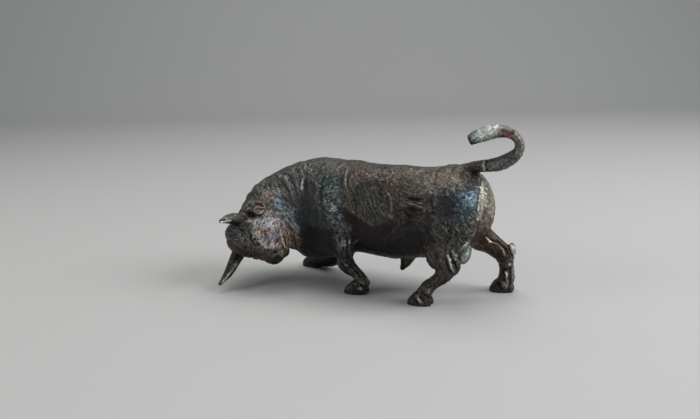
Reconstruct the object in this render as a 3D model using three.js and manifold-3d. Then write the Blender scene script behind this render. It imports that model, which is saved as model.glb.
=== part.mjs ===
// Small cast bronze bull: head lowered and twisted to its left, horns low,
// tail thrown up over the rump.  One casting, so one closed solid.
// Millimetres, +Z up, the bull faces -X, its left flank is towards -Y,
// the flat soles of its four hooves stand on z = 0.
import * as THREE from 'three';
import { mergeVertices } from 'three/addons/utils/BufferGeometryUtils.js';
import Module from 'manifold-3d';

const wasm = await Module();
wasm.setup();

// ---------------------------------------------------------------- dimensions
const WITHERS = 79.5;          // top of the hump
const BACK = 77.3;             // dip of the back
const CROUP = 80.0;            // top of the rump at the tail's root
const BELLY = 20.8;            // lowest line of the belly
const BRISKET = 14.4;          // lowest line of the chest
const RUMP_X = 59.5;           // hindmost point of the buttocks
const BARREL = 25.0;           // half width of the barrel
const HEAD_LENGTH = 37.8;      // poll to muzzle
const HORN_LENGTH = 31.5;
const HORN_BASE = 4.6;         // radius of a horn where it leaves the skull
const HORN_TIP = 0.9;
const TAIL_ROOT = 3.4;         // radius where the tail leaves the rump
const TAIL_END = 3.1;
const HOOF = { length: 14.8, width: 11.6, height: 7.0 };

const POLL = new THREE.Vector3(-95.0, -26.0, 32.3);
const HEAD_AXIS = new THREE.Vector3(0.942, -0.238, -0.240).normalize();   // poll to muzzle
const FACE = new THREE.Vector3(-0.285, -0.940, -0.182);                   // out of the forehead
FACE.addScaledVector(HEAD_AXIS, -FACE.dot(HEAD_AXIS)).normalize();
const RIGHT = new THREE.Vector3().crossVectors(HEAD_AXIS, FACE);          // the bull's right cheek

const V = (x, y, z) => new THREE.Vector3(x, y, z);

// ---------------------------------------------------------------- helpers
// a row of numbers read at t in 0..1, with smooth steps between the entries
function read(row, t) {
  const u = Math.min(Math.max(t, 0), 1) * (row.length - 1);
  const i = Math.min(Math.floor(u), row.length - 2);
  const p = k => row[Math.min(Math.max(k, 0), row.length - 1)];
  const f = u - i, a = p(i - 1), b = p(i), c = p(i + 1), d = p(i + 2);
  const m0 = (c - a) / 2, m1 = (d - b) / 2;
  const f2 = f * f, f3 = f2 * f;
  return b * (2 * f3 - 3 * f2 + 1) + m0 * (f3 - 2 * f2 + f) + c * (3 * f2 - 2 * f3) + m1 * (f3 - f2);
}

// closed shell from rings of equal length, each end closed by a fan
function shell(rings) {
  const n = rings[0].length, pos = [], idx = [];
  const put = p => { pos.push(p.x, p.y, p.z); return pos.length / 3 - 1; };
  for (const ring of rings) ring.forEach(put);
  for (let i = 0; i < rings.length - 1; i++) {
    for (let j = 0; j < n; j++) {
      const a = i * n + j, b = i * n + (j + 1) % n;
      idx.push(a, b, a + n, b, b + n, a + n);
    }
  }
  const mid = ring => ring.reduce((s, p) => s.add(p), V(0, 0, 0)).divideScalar(n);
  const s = put(mid(rings[0])), e = put(mid(rings[rings.length - 1])), o = (rings.length - 1) * n;
  for (let j = 0; j < n; j++) {
    idx.push(s, (j + 1) % n, j);
    idx.push(e, o + j, o + (j + 1) % n);
  }
  const g = new THREE.BufferGeometry();
  g.setAttribute('position', new THREE.Float32BufferAttribute(pos, 3));
  g.setIndex(idx);
  return g;
}

// A limb-like form along a smooth curve through `points`.  `wide` is the half
// size across `side` (or level, where no side is given), `up` and `down` the
// half sizes square to it.
function limb({ points, wide, up, down = up, side, steps, around, round = 2, ends = 'dome' }) {
  const curve = new THREE.CatmullRomCurve3(points, false, 'centripetal');
  const rings = [];
  const stops = [];
  for (let i = 0; i <= steps; i++) stops.push([i / steps, 1]);
  if (ends !== 'flat') {                     // domed ends: two shrunken rings at each end
    stops.unshift([0, 0.45], [0, 0.8]);
    stops.push([1, 0.8], [1, 0.45]);
  }
  stops.forEach(([t, shrink], k) => {
    const c = curve.getPoint(t), T = curve.getTangent(t);
    const across = side || new THREE.Vector3().crossVectors(T, V(0, 0, 1));
    const S = across.clone().addScaledVector(T, -across.dot(T)).normalize();
    const U = new THREE.Vector3().crossVectors(S, T);
    const a = read(wide, t), b = read(up, t), d = read(down, t);
    const grow = Math.min(a, b) * 0.55;
    if (shrink < 1) {
      const out = (shrink < 0.6 ? 1 : 0.62) * grow * (k < 2 ? -1 : 1);
      c.addScaledVector(T, out);
    }
    const ring = [];
    for (let j = 0; j < around; j++) {
      const q = 2 * Math.PI * j / around, cs = Math.cos(q), sn = Math.sin(q);
      const e = 2 / round;
      const x = Math.sign(cs) * Math.abs(cs) ** e * a * shrink;
      const y = Math.sign(sn) * Math.abs(sn) ** e * (sn > 0 ? b : d) * shrink;
      ring.push(c.clone().addScaledVector(S, x).addScaledVector(U, y));
    }
    rings.push(ring);
  });
  return shell(rings);
}

// ellipsoid with its own axes
function bulb(center, radii, x = V(1, 0, 0), z = V(0, 0, 1), around = 18, high = 12) {
  const g = new THREE.SphereGeometry(1, around, high);
  const X = x.clone().normalize();
  const Z = z.clone().addScaledVector(X, -z.dot(X)).normalize();
  const Y = new THREE.Vector3().crossVectors(Z, X);
  const m = new THREE.Matrix4().makeBasis(X.multiplyScalar(radii[0]), Y.multiplyScalar(radii[1]), Z.multiplyScalar(radii[2]));
  m.setPosition(center);
  g.applyMatrix4(m);
  return g;
}

function solid(geometry) {
  let g = geometry.clone();
  for (const name of Object.keys(g.attributes)) if (name !== 'position') g.deleteAttribute(name);
  g = mergeVertices(g, 1e-4);
  const idx = [];
  const src = g.index.array;
  for (let i = 0; i < src.length; i += 3) {       // the sphere's poles leave empty triangles
    const [a, b, c] = [src[i], src[i + 1], src[i + 2]];
    if (a !== b && b !== c && a !== c) idx.push(a, b, c);
  }
  const m = new wasm.Manifold(new wasm.Mesh({
    numProp: 3,
    vertProperties: new Float32Array(g.attributes.position.array),
    triVerts: new Uint32Array(idx),
  }));
  return m.volume() < 0 ? flipped(g, idx) : m;
}
function flipped(g, idx) {
  for (let i = 0; i < idx.length; i += 3) [idx[i], idx[i + 1]] = [idx[i + 1], idx[i]];
  return new wasm.Manifold(new wasm.Mesh({
    numProp: 3, vertProperties: new Float32Array(g.attributes.position.array), triVerts: new Uint32Array(idx),
  }));
}

const forms = [];
const add = g => forms.push(g);

// ---------------------------------------------------------------- trunk and neck
const trunkMid = (top, low) => (top + low) / 2;
const trunk = [
  // x, y, z, half width, up, down
  [RUMP_X - 5.0, 0, 55.0, 9.5, 13.0, 13.5],
  [RUMP_X - 8.5, 0, 55.6, 15.0, 18.2, 18.6],
  [RUMP_X - 13.0, 0, 56.0, 19.6, 22.0, 22.0],
  [40, 0, trunkMid(CROUP, 31), 22.2, 24.6, 24.8],
  [33, 0, trunkMid(CROUP - 1.5, 27), 23.0, 25.8, 25.8],
  [19, 0, trunkMid(BACK, BELLY + 1.5), BARREL - 0.8, 27.5, 26.3],
  [3, 0, trunkMid(BACK, BELLY), BARREL, 28.3, 28.2],
  [-13, 0, trunkMid(BACK, BELLY + 1.0), BARREL, 27.8, 27.6],
  [-29, 0, trunkMid(WITHERS - 1, BELLY + 1.2), BARREL - 0.5, 28.6, 28.5],
  [-45, 0, trunkMid(WITHERS, BRISKET), BARREL - 1.2, 33.2, 30.5],
  [-60, -1, 45.5, 22.8, 31.0, 26.0],
  [-73, -3.0, 42.5, 21.0, 28.0, 18.6],
  [-84, -8.0, 38.5, 18.4, 24.7, 15.0],
  [-90, -14.5, 35.0, 15.0, 18.6, 13.5],
  [-92.5, -21.0, 33.0, 12.4, 13.2, 12.0],
];
add(limb({
  points: trunk.map(s => V(s[0], s[1], s[2])),
  wide: trunk.map(s => s[3]), up: trunk.map(s => s[4]), down: trunk.map(s => s[5]),
  steps: 25, around: 34, round: 2.15,
}));

// shoulder blades, haunches and the loose skin of the brisket
for (const s of [-1, 1]) {
  add(bulb(V(-37, s * 14.0, 50), [15.0, 12.2, 24.0], V(1, 0, 0.12), V(-0.12, 0, 1), 16, 10));
  add(bulb(V(s < 0 ? 41.0 : 44.4, s * 12.8, s < 0 ? 53.2 : 51.8), [s < 0 ? 16.0 : 14.8, 12.2, s < 0 ? 20.8 : 20.6], V(1, 0, 0), V(0, 0, 1), 16, 10));
}
add(bulb(V(-54, -2, 25.6), [15.5, 11.0, 11.2], V(1, 0, 0.3), V(-0.3, 0, 1), 14, 9));      // brisket
add(bulb(V(-67, -12, 32.6), [12.0, 9.5, 10.4], V(1, 0, -0.35), V(0.35, 0, 1), 14, 8));   // throat

// ---------------------------------------------------------------- head
const headAt = (along, right, out) => POLL.clone().addScaledVector(HEAD_AXIS, along)
  .addScaledVector(RIGHT, right).addScaledVector(FACE, out);
const headRow = {
  wide: [8.0, 9.2, 9.3, 8.7, 7.7, 6.7, 6.4, 6.8, 5.8],
  face: [10.0, 14.0, 15.4, 14.6, 12.2, 9.4, 8.2, 8.0, 6.0],
  jaw: [6.0, 8.2, 8.6, 8.0, 6.7, 5.6, 5.4, 5.9, 4.5],
};
add(limb({
  points: [headAt(-3.6, 0, 0), headAt(HEAD_LENGTH * 0.35, 0, 0), headAt(HEAD_LENGTH * 0.7, 0, 0), headAt(HEAD_LENGTH - 2.6, 0, 0)],
  wide: headRow.wide, up: headRow.face, down: headRow.jaw,
  side: RIGHT, steps: 14, around: 22, round: 2.3,
}));
// horns leave sideways, then turn forward to their points; the left one is worn and stands higher
const sweep = {
  right: [[2.0, 9.4, 3.0], [5.0, 13.6, 10.5], [9.2, 17.2, 19.5], [12.4, 19.6, 29.0]],
  left: [[1.0, 10.4, 2.0], [3.6, 15.6, 9.0], [7.4, 20.0, 16.8], [11.4, 23.4, 24.0]],
};
for (const s of [-1, 1]) {
  add(bulb(headAt(12.5, s * 7.0, 3.4), [4.8, 3.0, 3.2], HEAD_AXIS, FACE, 10, 6));         // brow
  add(bulb(headAt(33.0, s * 3.8, 2.1), [3.3, 3.0, 3.2], HEAD_AXIS, FACE, 10, 6));         // nostril wing
  add(bulb(headAt(3.0, s * 7.0, 3.2), [5.8, 5.4, 5.4], HEAD_AXIS, FACE, 12, 7));          // root of the horn
  const grow = HORN_LENGTH / 31.5;
  const base = s > 0 ? HORN_BASE : HORN_BASE * 0.94;
  const thick = [base, base * 0.84, base * (s > 0 ? 0.61 : 0.58), s > 0 ? HORN_TIP : HORN_TIP * 1.3];
  add(limb({
    points: sweep[s < 0 ? 'left' : 'right'].map(([a, b, c]) => headAt(a * grow, s * b, c * grow)),
    wide: thick, up: thick, side: HEAD_AXIS, steps: 7, around: 10,
  }));
}
add(bulb(V(-73.0, -23.4, 34.6), [11.0, 8.6, 9.6], V(1, 0, 0), V(0, 0, 1), 14, 9));       // round end of the left jaw
// ears: thick shells hollowed towards the front, the left one with a swelling inside
const rightEar = { out: RIGHT.clone().multiplyScalar(0.80).addScaledVector(FACE, -0.1).addScaledVector(HEAD_AXIS, 0.55).normalize(), c: headAt(4.2, 15.0, -9.5) };
add(bulb(rightEar.c, [8.2, 5.6, 3.6], rightEar.out, FACE, 12, 7));
const leftEar = { c: V(-86.4, -22.6, 47.6), face: V(0.30, -0.86, 0.40).normalize(), along: V(1, 0.25, 0.1) };
leftEar.along.addScaledVector(leftEar.face, -leftEar.along.dot(leftEar.face)).normalize();
leftEar.across = new THREE.Vector3().crossVectors(leftEar.face, leftEar.along);
const earAt = (a, b, h) => leftEar.c.clone().addScaledVector(leftEar.along, a).addScaledVector(leftEar.across, b).addScaledVector(leftEar.face, h);
add(bulb(earAt(1.0, 0, 0), [7.2, 6.4, 3.1], leftEar.along, leftEar.face, 14, 8));
add(bulb(earAt(2.9, -0.2, 1.9), [4.4, 3.4, 2.6], leftEar.along, leftEar.face, 10, 6));
const earCuts = [
  bulb(rightEar.c.clone().addScaledVector(FACE, 3.2).addScaledVector(rightEar.out, 0.4), [5.0, 3.2, 2.3], rightEar.out, FACE, 10, 6),
  limb({
    points: [earAt(-4.0, -0.8, 3.2), earAt(-3.8, -3.4, 3.0), earAt(-1.6, -5.1, 2.8), earAt(1.8, -5.7, 2.4)],
    wide: [1.1, 2.1, 2.0, 1.2], up: [0.9, 1.8, 1.6, 0.9], side: leftEar.face, steps: 4, around: 8,
  }),
];

// ---------------------------------------------------------------- legs
// a hoof with a flat sole on z = 0, its toe towards `heading` (degrees from -X)
function hoof(x, y, heading) {
  const { length, width, height } = HOOF, rings = [], n = 16;
  const f = V(-Math.cos(heading * Math.PI / 180), -Math.sin(heading * Math.PI / 180), 0);
  const s = V(-f.y, f.x, 0);
  for (const [z, k, shift] of [[0, 0.98, 0.4], [height * 0.4, 0.93, -0.2], [height * 0.85, 0.8, -1.2], [height * 1.15, 0.66, -1.9]]) {
    const ring = [];
    for (let j = 0; j < n; j++) {
      const q = 2 * Math.PI * j / n, c = Math.cos(q), w = Math.sin(q);
      const cleft = 1 - (j === 0 ? 0.14 : 0);
      ring.push(V(x, y, z).addScaledVector(f, c * cleft * k * length / 2 + shift).addScaledVector(s, w * k * width / 2));
    }
    rings.push(ring);
  }
  return shell(rings);
}

const legs = {
  nearHind: {
    points: [V(40, -12, 58), V(38.6, -15.5, 46), V(37.6, -17.6, 37.5), V(38.2, -18.8, 31), V(40.9, -19.2, 25.6), V(40.2, -19.4, 20.2), V(35.0, -19.3, 15.2), V(30.0, -19.0, 10.9), V(27.2, -18.2, 6.2)],
    wide: [9.5, 9.2, 8.2, 6.8, 5.2, 4.1, 3.6, 3.9, 4.6],
    up: [14.6, 13.6, 10.9, 9.5, 7.8, 5.4, 3.7, 4.2, 5.0],
    hoof: [25.4, -17.8, 4],
  },
  farHind: {
    points: [V(42, 12, 54), V(42, 16, 43), V(46.3, 19.5, 34.6), V(55.0, 21.6, 28.8), V(61.7, 22.6, 23.4), V(63.6, 23.2, 16), V(63.2, 23.8, 9.5), V(62.0, 24, 4.8)],
    wide: [9.5, 9.0, 7.2, 5.6, 4.6, 4.1, 4.3, 4.8],
    up: [15.0, 12.0, 9.4, 6.4, 5.8, 4.3, 4.4, 5.2],
    hoof: [60.9, 24.6, 8],
  },
  nearFore: {
    points: [V(-31, -14, 48), V(-27, -16.4, 38), V(-24.4, -17.4, 29.5), V(-24.6, -17.6, 22.6), V(-22.9, -17.6, 17.0), V(-17.6, -17.4, 13.2), V(-13.8, -17.2, 8.8), V(-14.8, -16.8, 4.8)],
    wide: [9.0, 7.6, 5.4, 4.6, 4.6, 3.4, 3.7, 4.4],
    up: [11.5, 8.4, 5.6, 5.0, 5.1, 3.7, 3.8, 4.9],
    hoof: [-17.8, -15.6, 6],
  },
  farFore: {
    points: [V(-40, 13, 42), V(-44, 15.5, 30), V(-47, 17.4, 20), V(-52.0, 18.8, 12), V(-58, 20.2, 8.0), V(-64, 21.2, 6.2), V(-69.0, 21.8, 5.0)],
    wide: [9.0, 7.8, 6.6, 5.6, 5.0, 4.6, 5.0],
    up: [11.5, 10.0, 9.0, 7.8, 6.6, 5.6, 5.0],
    hoof: [-71.4, 22.4, -4],
  },
};
for (const leg of Object.values(legs)) {
  add(limb({ points: leg.points, wide: leg.wide, up: leg.up, side: V(0, 1, 0), steps: 13, around: 13, ends: 'flat' }));
  add(hoof(...leg.hoof));
}

// ---------------------------------------------------------------- tail
// up from the croup, back, and hooked forward over the rump; its end is broken off
const tail = [V(43, 0, 75.6), V(49, 0, 78.4), V(54.5, 0, 80.0), V(60.5, 0, 80.9), V(66.0, 0, 82.2)];
const hook = { x: 65.8, z: 92.2, rx: 10.6, rz: 8.0 };
for (let i = 0; i <= 5; i++) {
  const a = (-52 + 31 * i) * Math.PI / 180;
  tail.push(V(hook.x + hook.rx * Math.cos(a), 0, hook.z + hook.rz * Math.sin(a)));
}
tail.push(V(57.0, 0, 98.4), V(52.6, 0, 96.8), V(47.9, 0, 94.5));
const tailThick = [4.6, 3.7, TAIL_ROOT, 3.8, 4.0, 3.6, 3.0, 2.7, 2.7, 3.1, 3.8, 4.3, 3.8, TAIL_END];
add(limb({ points: tail, wide: tailThick, up: tailThick, side: V(0, 1, 0), steps: 24, around: 10, ends: 'flat' }));

// ---------------------------------------------------------------- underside
for (const s of [-1, 1]) {
  const back = s > 0 ? -2.6 : 0;
  add(bulb(V(46.8 + back, s * 3.4 - 0.6, 29.6 + 0.4 * s), [3.9, 3.7, 6.8], V(1, 0, -0.25), V(0.25, 0, 1), 12, 8));
  add(limb({ points: [V(47.4 + back, s * 2.8 - 0.6, 34.0), V(49.0 + back, s * 2.4, 40.0)], wide: [2.6, 3.4], up: [2.4, 3.4], side: V(0, 1, 0), steps: 2, around: 8, ends: 'flat' }));
}
add(limb({
  points: [V(11, 0, 26), V(9.2, 0, 21.6), V(7.4, 0, 17.4), V(5.3, 0, 13.6)],
  wide: [5.0, 4.2, 3.2, 1.5], up: [5.0, 4.3, 3.1, 1.5], side: V(0, 1, 0), steps: 5, around: 10,
}));

// ---------------------------------------------------------------- one casting
let body = solid(forms[0]);
for (const g of forms.slice(1)) body = body.add(solid(g));
for (const g of earCuts) body = body.subtract(solid(g));

const mesh = body.getMesh();
const geometry = new THREE.BufferGeometry();
geometry.setAttribute('position', new THREE.BufferAttribute(new Float32Array(mesh.vertProperties), 3));
geometry.setIndex(new THREE.BufferAttribute(new Uint32Array(mesh.triVerts), 1));

// the origin is the middle of the bounding box, on the ground
geometry.computeBoundingBox();
const box = geometry.boundingBox;
geometry.translate(-(box.min.x + box.max.x) / 2, -(box.min.y + box.max.y) / 2, -box.min.z);
geometry.computeVertexNormals();

const bronze = new THREE.MeshStandardMaterial({ color: 0x4a433a, roughness: 0.5, metalness: 0.85 });
const bull = new THREE.Mesh(geometry, bronze);
bull.name = 'bull_casting';

const group = new THREE.Group();
group.add(bull);

export default group;
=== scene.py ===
import math

import bpy
import numpy as np
from mathutils import Matrix, Vector


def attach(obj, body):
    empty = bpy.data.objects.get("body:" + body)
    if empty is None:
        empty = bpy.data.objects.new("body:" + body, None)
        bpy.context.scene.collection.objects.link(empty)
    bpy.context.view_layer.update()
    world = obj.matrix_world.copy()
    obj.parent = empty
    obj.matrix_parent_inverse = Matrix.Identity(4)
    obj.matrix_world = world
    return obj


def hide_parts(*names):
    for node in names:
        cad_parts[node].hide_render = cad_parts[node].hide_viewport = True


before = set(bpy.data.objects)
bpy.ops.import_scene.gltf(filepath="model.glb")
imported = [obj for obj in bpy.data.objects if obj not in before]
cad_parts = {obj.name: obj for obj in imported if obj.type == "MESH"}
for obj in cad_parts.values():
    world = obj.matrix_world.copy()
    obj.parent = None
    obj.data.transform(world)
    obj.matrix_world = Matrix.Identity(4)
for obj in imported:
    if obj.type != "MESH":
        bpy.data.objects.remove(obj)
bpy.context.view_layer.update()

# ------------------------------------------------------------------ frame
# The bull is worked out in millimetres with the origin between its feet, its
# head towards -X and its left flank towards -Y.  SHIFT carries it to the row
# frame.
SHIFT = np.array([12.653538, 13.753478, 0.0])
EYE = np.array([189.6217, -400.8416, 150.7850])       # camera
LOOK = np.array([-0.468871, 0.855415, -0.220057])
SIDE = np.array([0.879199, 0.475878, -0.023439])
RISE = np.array([-0.084671, 0.204464, 0.975205])
FOCAL = 750.0                                         # pixels of a 700 pixel wide picture

CELL = 0.5
FACES = 195000                                        # triangles in the finished mesh


def pixel(p):
    q = p - EYE
    z = q @ LOOK
    return 350 + FOCAL * (q @ SIDE) / z, 209.5 - FOCAL * (q @ RISE) / z


def unit(v):
    v = np.asarray(v, float)
    return v / np.linalg.norm(v)


def ease(x, a, b):
    t = np.clip((x - a) / (b - a), 0, 1)
    return t * t * (3 - 2 * t)


# ------------------------------------------------------------------ noise
def _hash(x, y, z, seed):
    h = (x * 374761393 + y * 668265263 + z * 1442695041 + seed * 1274126177) & 0xFFFFFFFF
    h = ((h ^ (h >> 13)) * 1274126177) & 0xFFFFFFFF
    h = ((h ^ (h >> 16)) * 2246822519) & 0xFFFFFFFF
    return h ^ (h >> 15)


def noise(p, size, seed=0):
    """smooth gradient noise, about -1..1, with features of `size` mm"""
    q = p / size
    b = np.floor(q).astype(np.int64)
    f = q - b
    w = f * f * f * (f * (f * 6 - 15) + 10)
    out = np.zeros(len(p))
    for dx in (0, 1):
        for dy in (0, 1):
            for dz in (0, 1):
                h = _hash(b[:, 0] + dx, b[:, 1] + dy, b[:, 2] + dz, seed)
                g = np.stack([(h & 1023) / 511.5 - 1, ((h >> 10) & 1023) / 511.5 - 1, ((h >> 20) & 1023) / 511.5 - 1], 1)
                dot = (g * (f - (dx, dy, dz))).sum(1)
                out += dot * np.where(dx, w[:, 0], 1 - w[:, 0]) * np.where(dy, w[:, 1], 1 - w[:, 1]) * np.where(dz, w[:, 2], 1 - w[:, 2])
    return out * 1.6


def layers(p, size, seed=0, count=3, fall=0.5):
    out, amp, total = np.zeros(len(p)), 1.0, 0.0
    for i in range(count):
        out += amp * noise(p, size / 2 ** i, seed + 17 * i)
        total += amp
        amp *= fall
    return out / total


def nearest_dot(p, size, seed=0):
    """distance to the nearest of a set of scattered points, in units of `size`"""
    q = p / size
    b = np.floor(q).astype(np.int64)
    best = np.full(len(p), 9.0)
    for dx in (-1, 0, 1):
        for dy in (-1, 0, 1):
            for dz in (-1, 0, 1):
                c = b + (dx, dy, dz)
                h = _hash(c[:, 0], c[:, 1], c[:, 2], seed)
                o = np.stack([(h & 1023) / 1023, ((h >> 10) & 1023) / 1023, ((h >> 20) & 1023) / 1023], 1)
                best = np.minimum(best, ((c + o - q) ** 2).sum(1))
    return np.sqrt(best)


# ------------------------------------------------------------------ solid forms
LOW = np.array([-111.0, -64.0, -2.5])
HIGH = np.array([84.0, 35.5, 108.0])
COUNT = np.ceil((HIGH - LOW) / CELL).astype(int) + 1
field = np.full(COUNT, 30.0, np.float32)
label = np.zeros(COUNT, np.uint8)
AXES = [(LOW[i] + CELL * np.arange(COUNT[i])).astype(np.float32) for i in range(3)]
TRUNK, HEAD, HORN_R, HORN_L, EAR_L, EAR_R, NEAR_HIND, FAR_HIND, NEAR_FORE, FAR_FORE, TAIL, BALLS, SHEATH, HOOF = range(14)


def window(low, high):
    a = np.clip(np.floor((np.asarray(low) - LOW) / CELL).astype(int), 0, COUNT - 2)
    b = np.clip(np.ceil((np.asarray(high) - LOW) / CELL).astype(int) + 1, a + 2, COUNT)
    return tuple(slice(i, j) for i, j in zip(a, b))


def grid(w):
    return AXES[0][w[0]][:, None, None], AXES[1][w[1]][None, :, None], AXES[2][w[2]][None, None, :]


def join(w, d, soft, tag):
    f = field[w]
    if soft > 0:
        h = np.clip(0.5 + 0.5 * (f - d) / soft, 0, 1)
        new = f * (1 - h) + d * h - soft * h * (1 - h)
    else:
        new = np.minimum(f, d)
    label[w] = np.where(d < f, np.uint8(tag), label[w])
    field[w] = new


def cut(w, d, soft):
    f = field[w]
    h = np.clip(0.5 - 0.5 * (f + d) / soft, 0, 1)
    field[w] = f * (1 - h) - d * h + soft * h * (1 - h)


def read(row, t):
    """a row of numbers read at t in 0..1, with smooth steps between the entries"""
    row = np.asarray(row, float)
    n = len(row)
    u = np.clip(t, 0, 1) * (n - 1)
    i = np.minimum(np.floor(u).astype(int), n - 2)
    f = u - i
    a, b, c, d = row[np.maximum(i - 1, 0)], row[i], row[i + 1], row[np.minimum(i + 2, n - 1)]
    m0, m1, f2, f3 = (c - a) / 2, (d - b) / 2, f * f, f * f * f
    return b * (2 * f3 - 3 * f2 + 1) + m0 * (f3 - 2 * f2 + f) + c * (3 * f2 - 2 * f3) + m1 * (f3 - f2)


def curve(points, t):
    """centripetal Catmull-Rom curve through points, at t in 0..1"""
    p = np.asarray(points, float)
    n = len(p)
    u = t * (n - 1)
    i = min(int(u), n - 2)
    f = u - i
    p1, p2 = p[i], p[i + 1]
    p0 = p[i - 1] if i > 0 else 2 * p[0] - p[1]
    p3 = p[i + 2] if i + 2 < n else 2 * p[-1] - p[-2]
    d0, d1, d2 = [max(np.linalg.norm(b - a), 1e-6) ** 0.5 for a, b in ((p0, p1), (p1, p2), (p2, p3))]
    m1 = ((p1 - p0) / d0 - (p2 - p0) / (d0 + d1) + (p2 - p1) / d1) * d1
    m2 = ((p2 - p1) / d1 - (p3 - p1) / (d1 + d2) + (p3 - p2) / d2) * d1
    return p1 * (2 * f**3 - 3 * f**2 + 1) + m1 * (f**3 - 2 * f**2 + f) + p2 * (3 * f**2 - 2 * f**3) + m2 * (f**3 - f**2)


def limb(points, wide, up, down=None, side=None, steps=12, power=2.0, soft=0.0, tag=0, cap=0.55, carve=False, margin=None):
    """a limb-like form along a curve: elliptic sections, `wide` across `side`"""
    down = up if down is None else down
    ts = np.linspace(0, 1, steps + 1)
    C = np.array([curve(points, t) for t in ts])
    T = np.array([unit(curve(points, min(t + 1e-3, 1)) - curve(points, max(t - 1e-3, 0))) for t in ts])
    A, B, D = read(wide, ts), read(up, ts), read(down, ts)
    S, U = [], []
    for t_ in T:
        across = np.cross(t_, (0, 0, 1)) if side is None else np.asarray(side, float)
        s = unit(across - (across @ t_) * t_)
        S.append(s)
        U.append(np.cross(s, t_))
    S, U = np.array(S), np.array(U)
    reach = np.maximum(np.maximum(A, B), D)
    edge = max(soft, 1.0) + 2 * CELL if margin is None else margin
    full = window((C - reach[:, None]).min(0) - edge, (C + reach[:, None]).max(0) + edge)
    d = np.full([s.stop - s.start for s in full], 30.0, np.float32)
    for i in range(steps):
        lo = np.minimum(C[i] - reach[i], C[i + 1] - reach[i + 1]) - edge
        hi = np.maximum(C[i] + reach[i], C[i + 1] + reach[i + 1]) + edge
        w = window(lo, hi)
        X, Y, Z = grid(w)
        x, y, z = X - C[i][0], Y - C[i][1], Z - C[i][2]
        v = C[i + 1] - C[i]
        t = np.clip((x * v[0] + y * v[1] + z * v[2]) / (v @ v), 0, 1).astype(np.float32)
        x, y, z = x - t * v[0], y - t * v[1], z - t * v[2]
        mix = lambda P: [P[i][k] + t * (P[i + 1][k] - P[i][k]) for k in range(3)]
        s, u, n = mix(S), mix(U), mix(T)
        a = x * s[0] + y * s[1] + z * s[2]
        b = x * u[0] + y * u[1] + z * u[2]
        c = x * n[0] + y * n[1] + z * n[2]
        ra = A[i] + t * (A[i + 1] - A[i])
        rb = np.where(b > 0, B[i] + t * (B[i + 1] - B[i]), D[i] + t * (D[i + 1] - D[i]))
        rc = cap * np.minimum(ra, rb)
        if power == 2.0:
            r = (a / ra) ** 2 + (b / rb) ** 2
        else:
            r = ((np.abs(a / ra) ** power + np.abs(b / rb) ** power)) ** (2 / power)
        r = np.sqrt(r + (c / rc) ** 2)
        size = np.sqrt(a * a + b * b + c * c)
        near = size * (1 - 1 / np.maximum(r, 1e-3))
        near = np.where(r < 1e-3, -np.minimum(ra, rb), near)
        v_ = tuple(slice(q.start - f.start, q.stop - f.start) for q, f in zip(w, full))
        d[v_] = np.minimum(d[v_], near)
    if carve:
        cut(full, d, max(soft, 0.2))
    else:
        join(full, d, soft, tag)


def bulb(center, radii, x=(1, 0, 0), z=(0, 0, 1), soft=0.0, tag=0, carve=False):
    """ellipsoid with its own axes"""
    center = np.asarray(center, float)
    X_ = unit(x)
    Z_ = np.asarray(z, float)
    Z_ = unit(Z_ - (Z_ @ X_) * X_)
    Y_ = np.cross(Z_, X_)
    edge = max(soft, 1.0) + 2 * CELL
    reach = np.sqrt((X_ * radii[0]) ** 2 + (Y_ * radii[1]) ** 2 + (Z_ * radii[2]) ** 2) + edge
    w = window(center - reach, center + reach)
    X, Y, Z = grid(w)
    p = (X - center[0], Y - center[1], Z - center[2])
    q = [p[0] * e[0] + p[1] * e[1] + p[2] * e[2] for e in (X_, Y_, Z_)]
    k0 = np.sqrt(sum((q[i] / radii[i]) ** 2 for i in range(3)))
    k1 = np.sqrt(sum((q[i] / radii[i] ** 2) ** 2 for i in range(3)))
    d = np.where(k0 < 1e-4, -min(radii), k0 * (k0 - 1) / np.maximum(k1, 1e-6)).astype(np.float32)
    if carve:
        cut(w, d, max(soft, 0.2))
    else:
        join(w, d, soft, tag)


# ------------------------------------------------------------------ trunk and neck
trunk = [
    [54.5, 0, 55.0, 9.5, 13.0, 13.5], [51.0, 0, 55.6, 15.0, 18.2, 18.6], [46.5, 0, 56.0, 19.6, 22.0, 22.0], [40, 0, 55.6, 22.2, 24.6, 24.8],
    [33, 0, 52.75, 23.0, 25.8, 25.8], [19, 0, 49.8, 24.2, 27.5, 26.3], [3, 0, 49.05, 25.0, 28.3, 28.2],
    [-13, 0, 49.55, 25.0, 27.8, 27.6], [-29, 0, 50.25, 24.5, 28.6, 28.5], [-45, 0, 46.95, 23.8, 33.2, 30.5],
    [-60, -1, 45.5, 22.8, 31.0, 26.0], [-73, -3.0, 42.5, 21.0, 28.0, 18.6], [-84, -8.0, 38.5, 18.4, 24.7, 15.0],
    [-90, -14.5, 35.0, 15.0, 18.6, 13.5], [-92.5, -21.0, 33.0, 12.4, 13.2, 12.0],
]
columns = list(zip(*trunk))
limb([s[:3] for s in trunk], columns[3], columns[4], columns[5], steps=28, power=2.15, tag=TRUNK)
for s in (-1, 1):
    bulb((-37, s * 14.0, 50), (15.0, 12.0, 24.0), (1, 0, 0.12), (-0.12, 0, 1), 7, TRUNK)
    bulb((-31, s * 15.0, 36), (8.5, 9.0, 13.0), (1, 0, 0.3), (-0.3, 0, 1), 6, TRUNK)             # upper arm
    bulb((40.6 if s < 0 else 43.8, s * 12.6, 53.2 if s < 0 else 51.8), (15.6 if s < 0 else 14.2, 12.0, 20.6 if s < 0 else 20.2), (1, 0, 0), (0, 0, 1), 6, TRUNK)
    bulb((26.0, s * 17.5, 63.0), (8.0, 5.5, 8.5), (1, 0, 0), (0, 0, 1), 6, TRUNK)                 # point of the hip
bulb((-54, -2, 25.6), (15.5, 11, 11.2), (1, 0, 0.3), (-0.3, 0, 1), 6, TRUNK)
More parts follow.
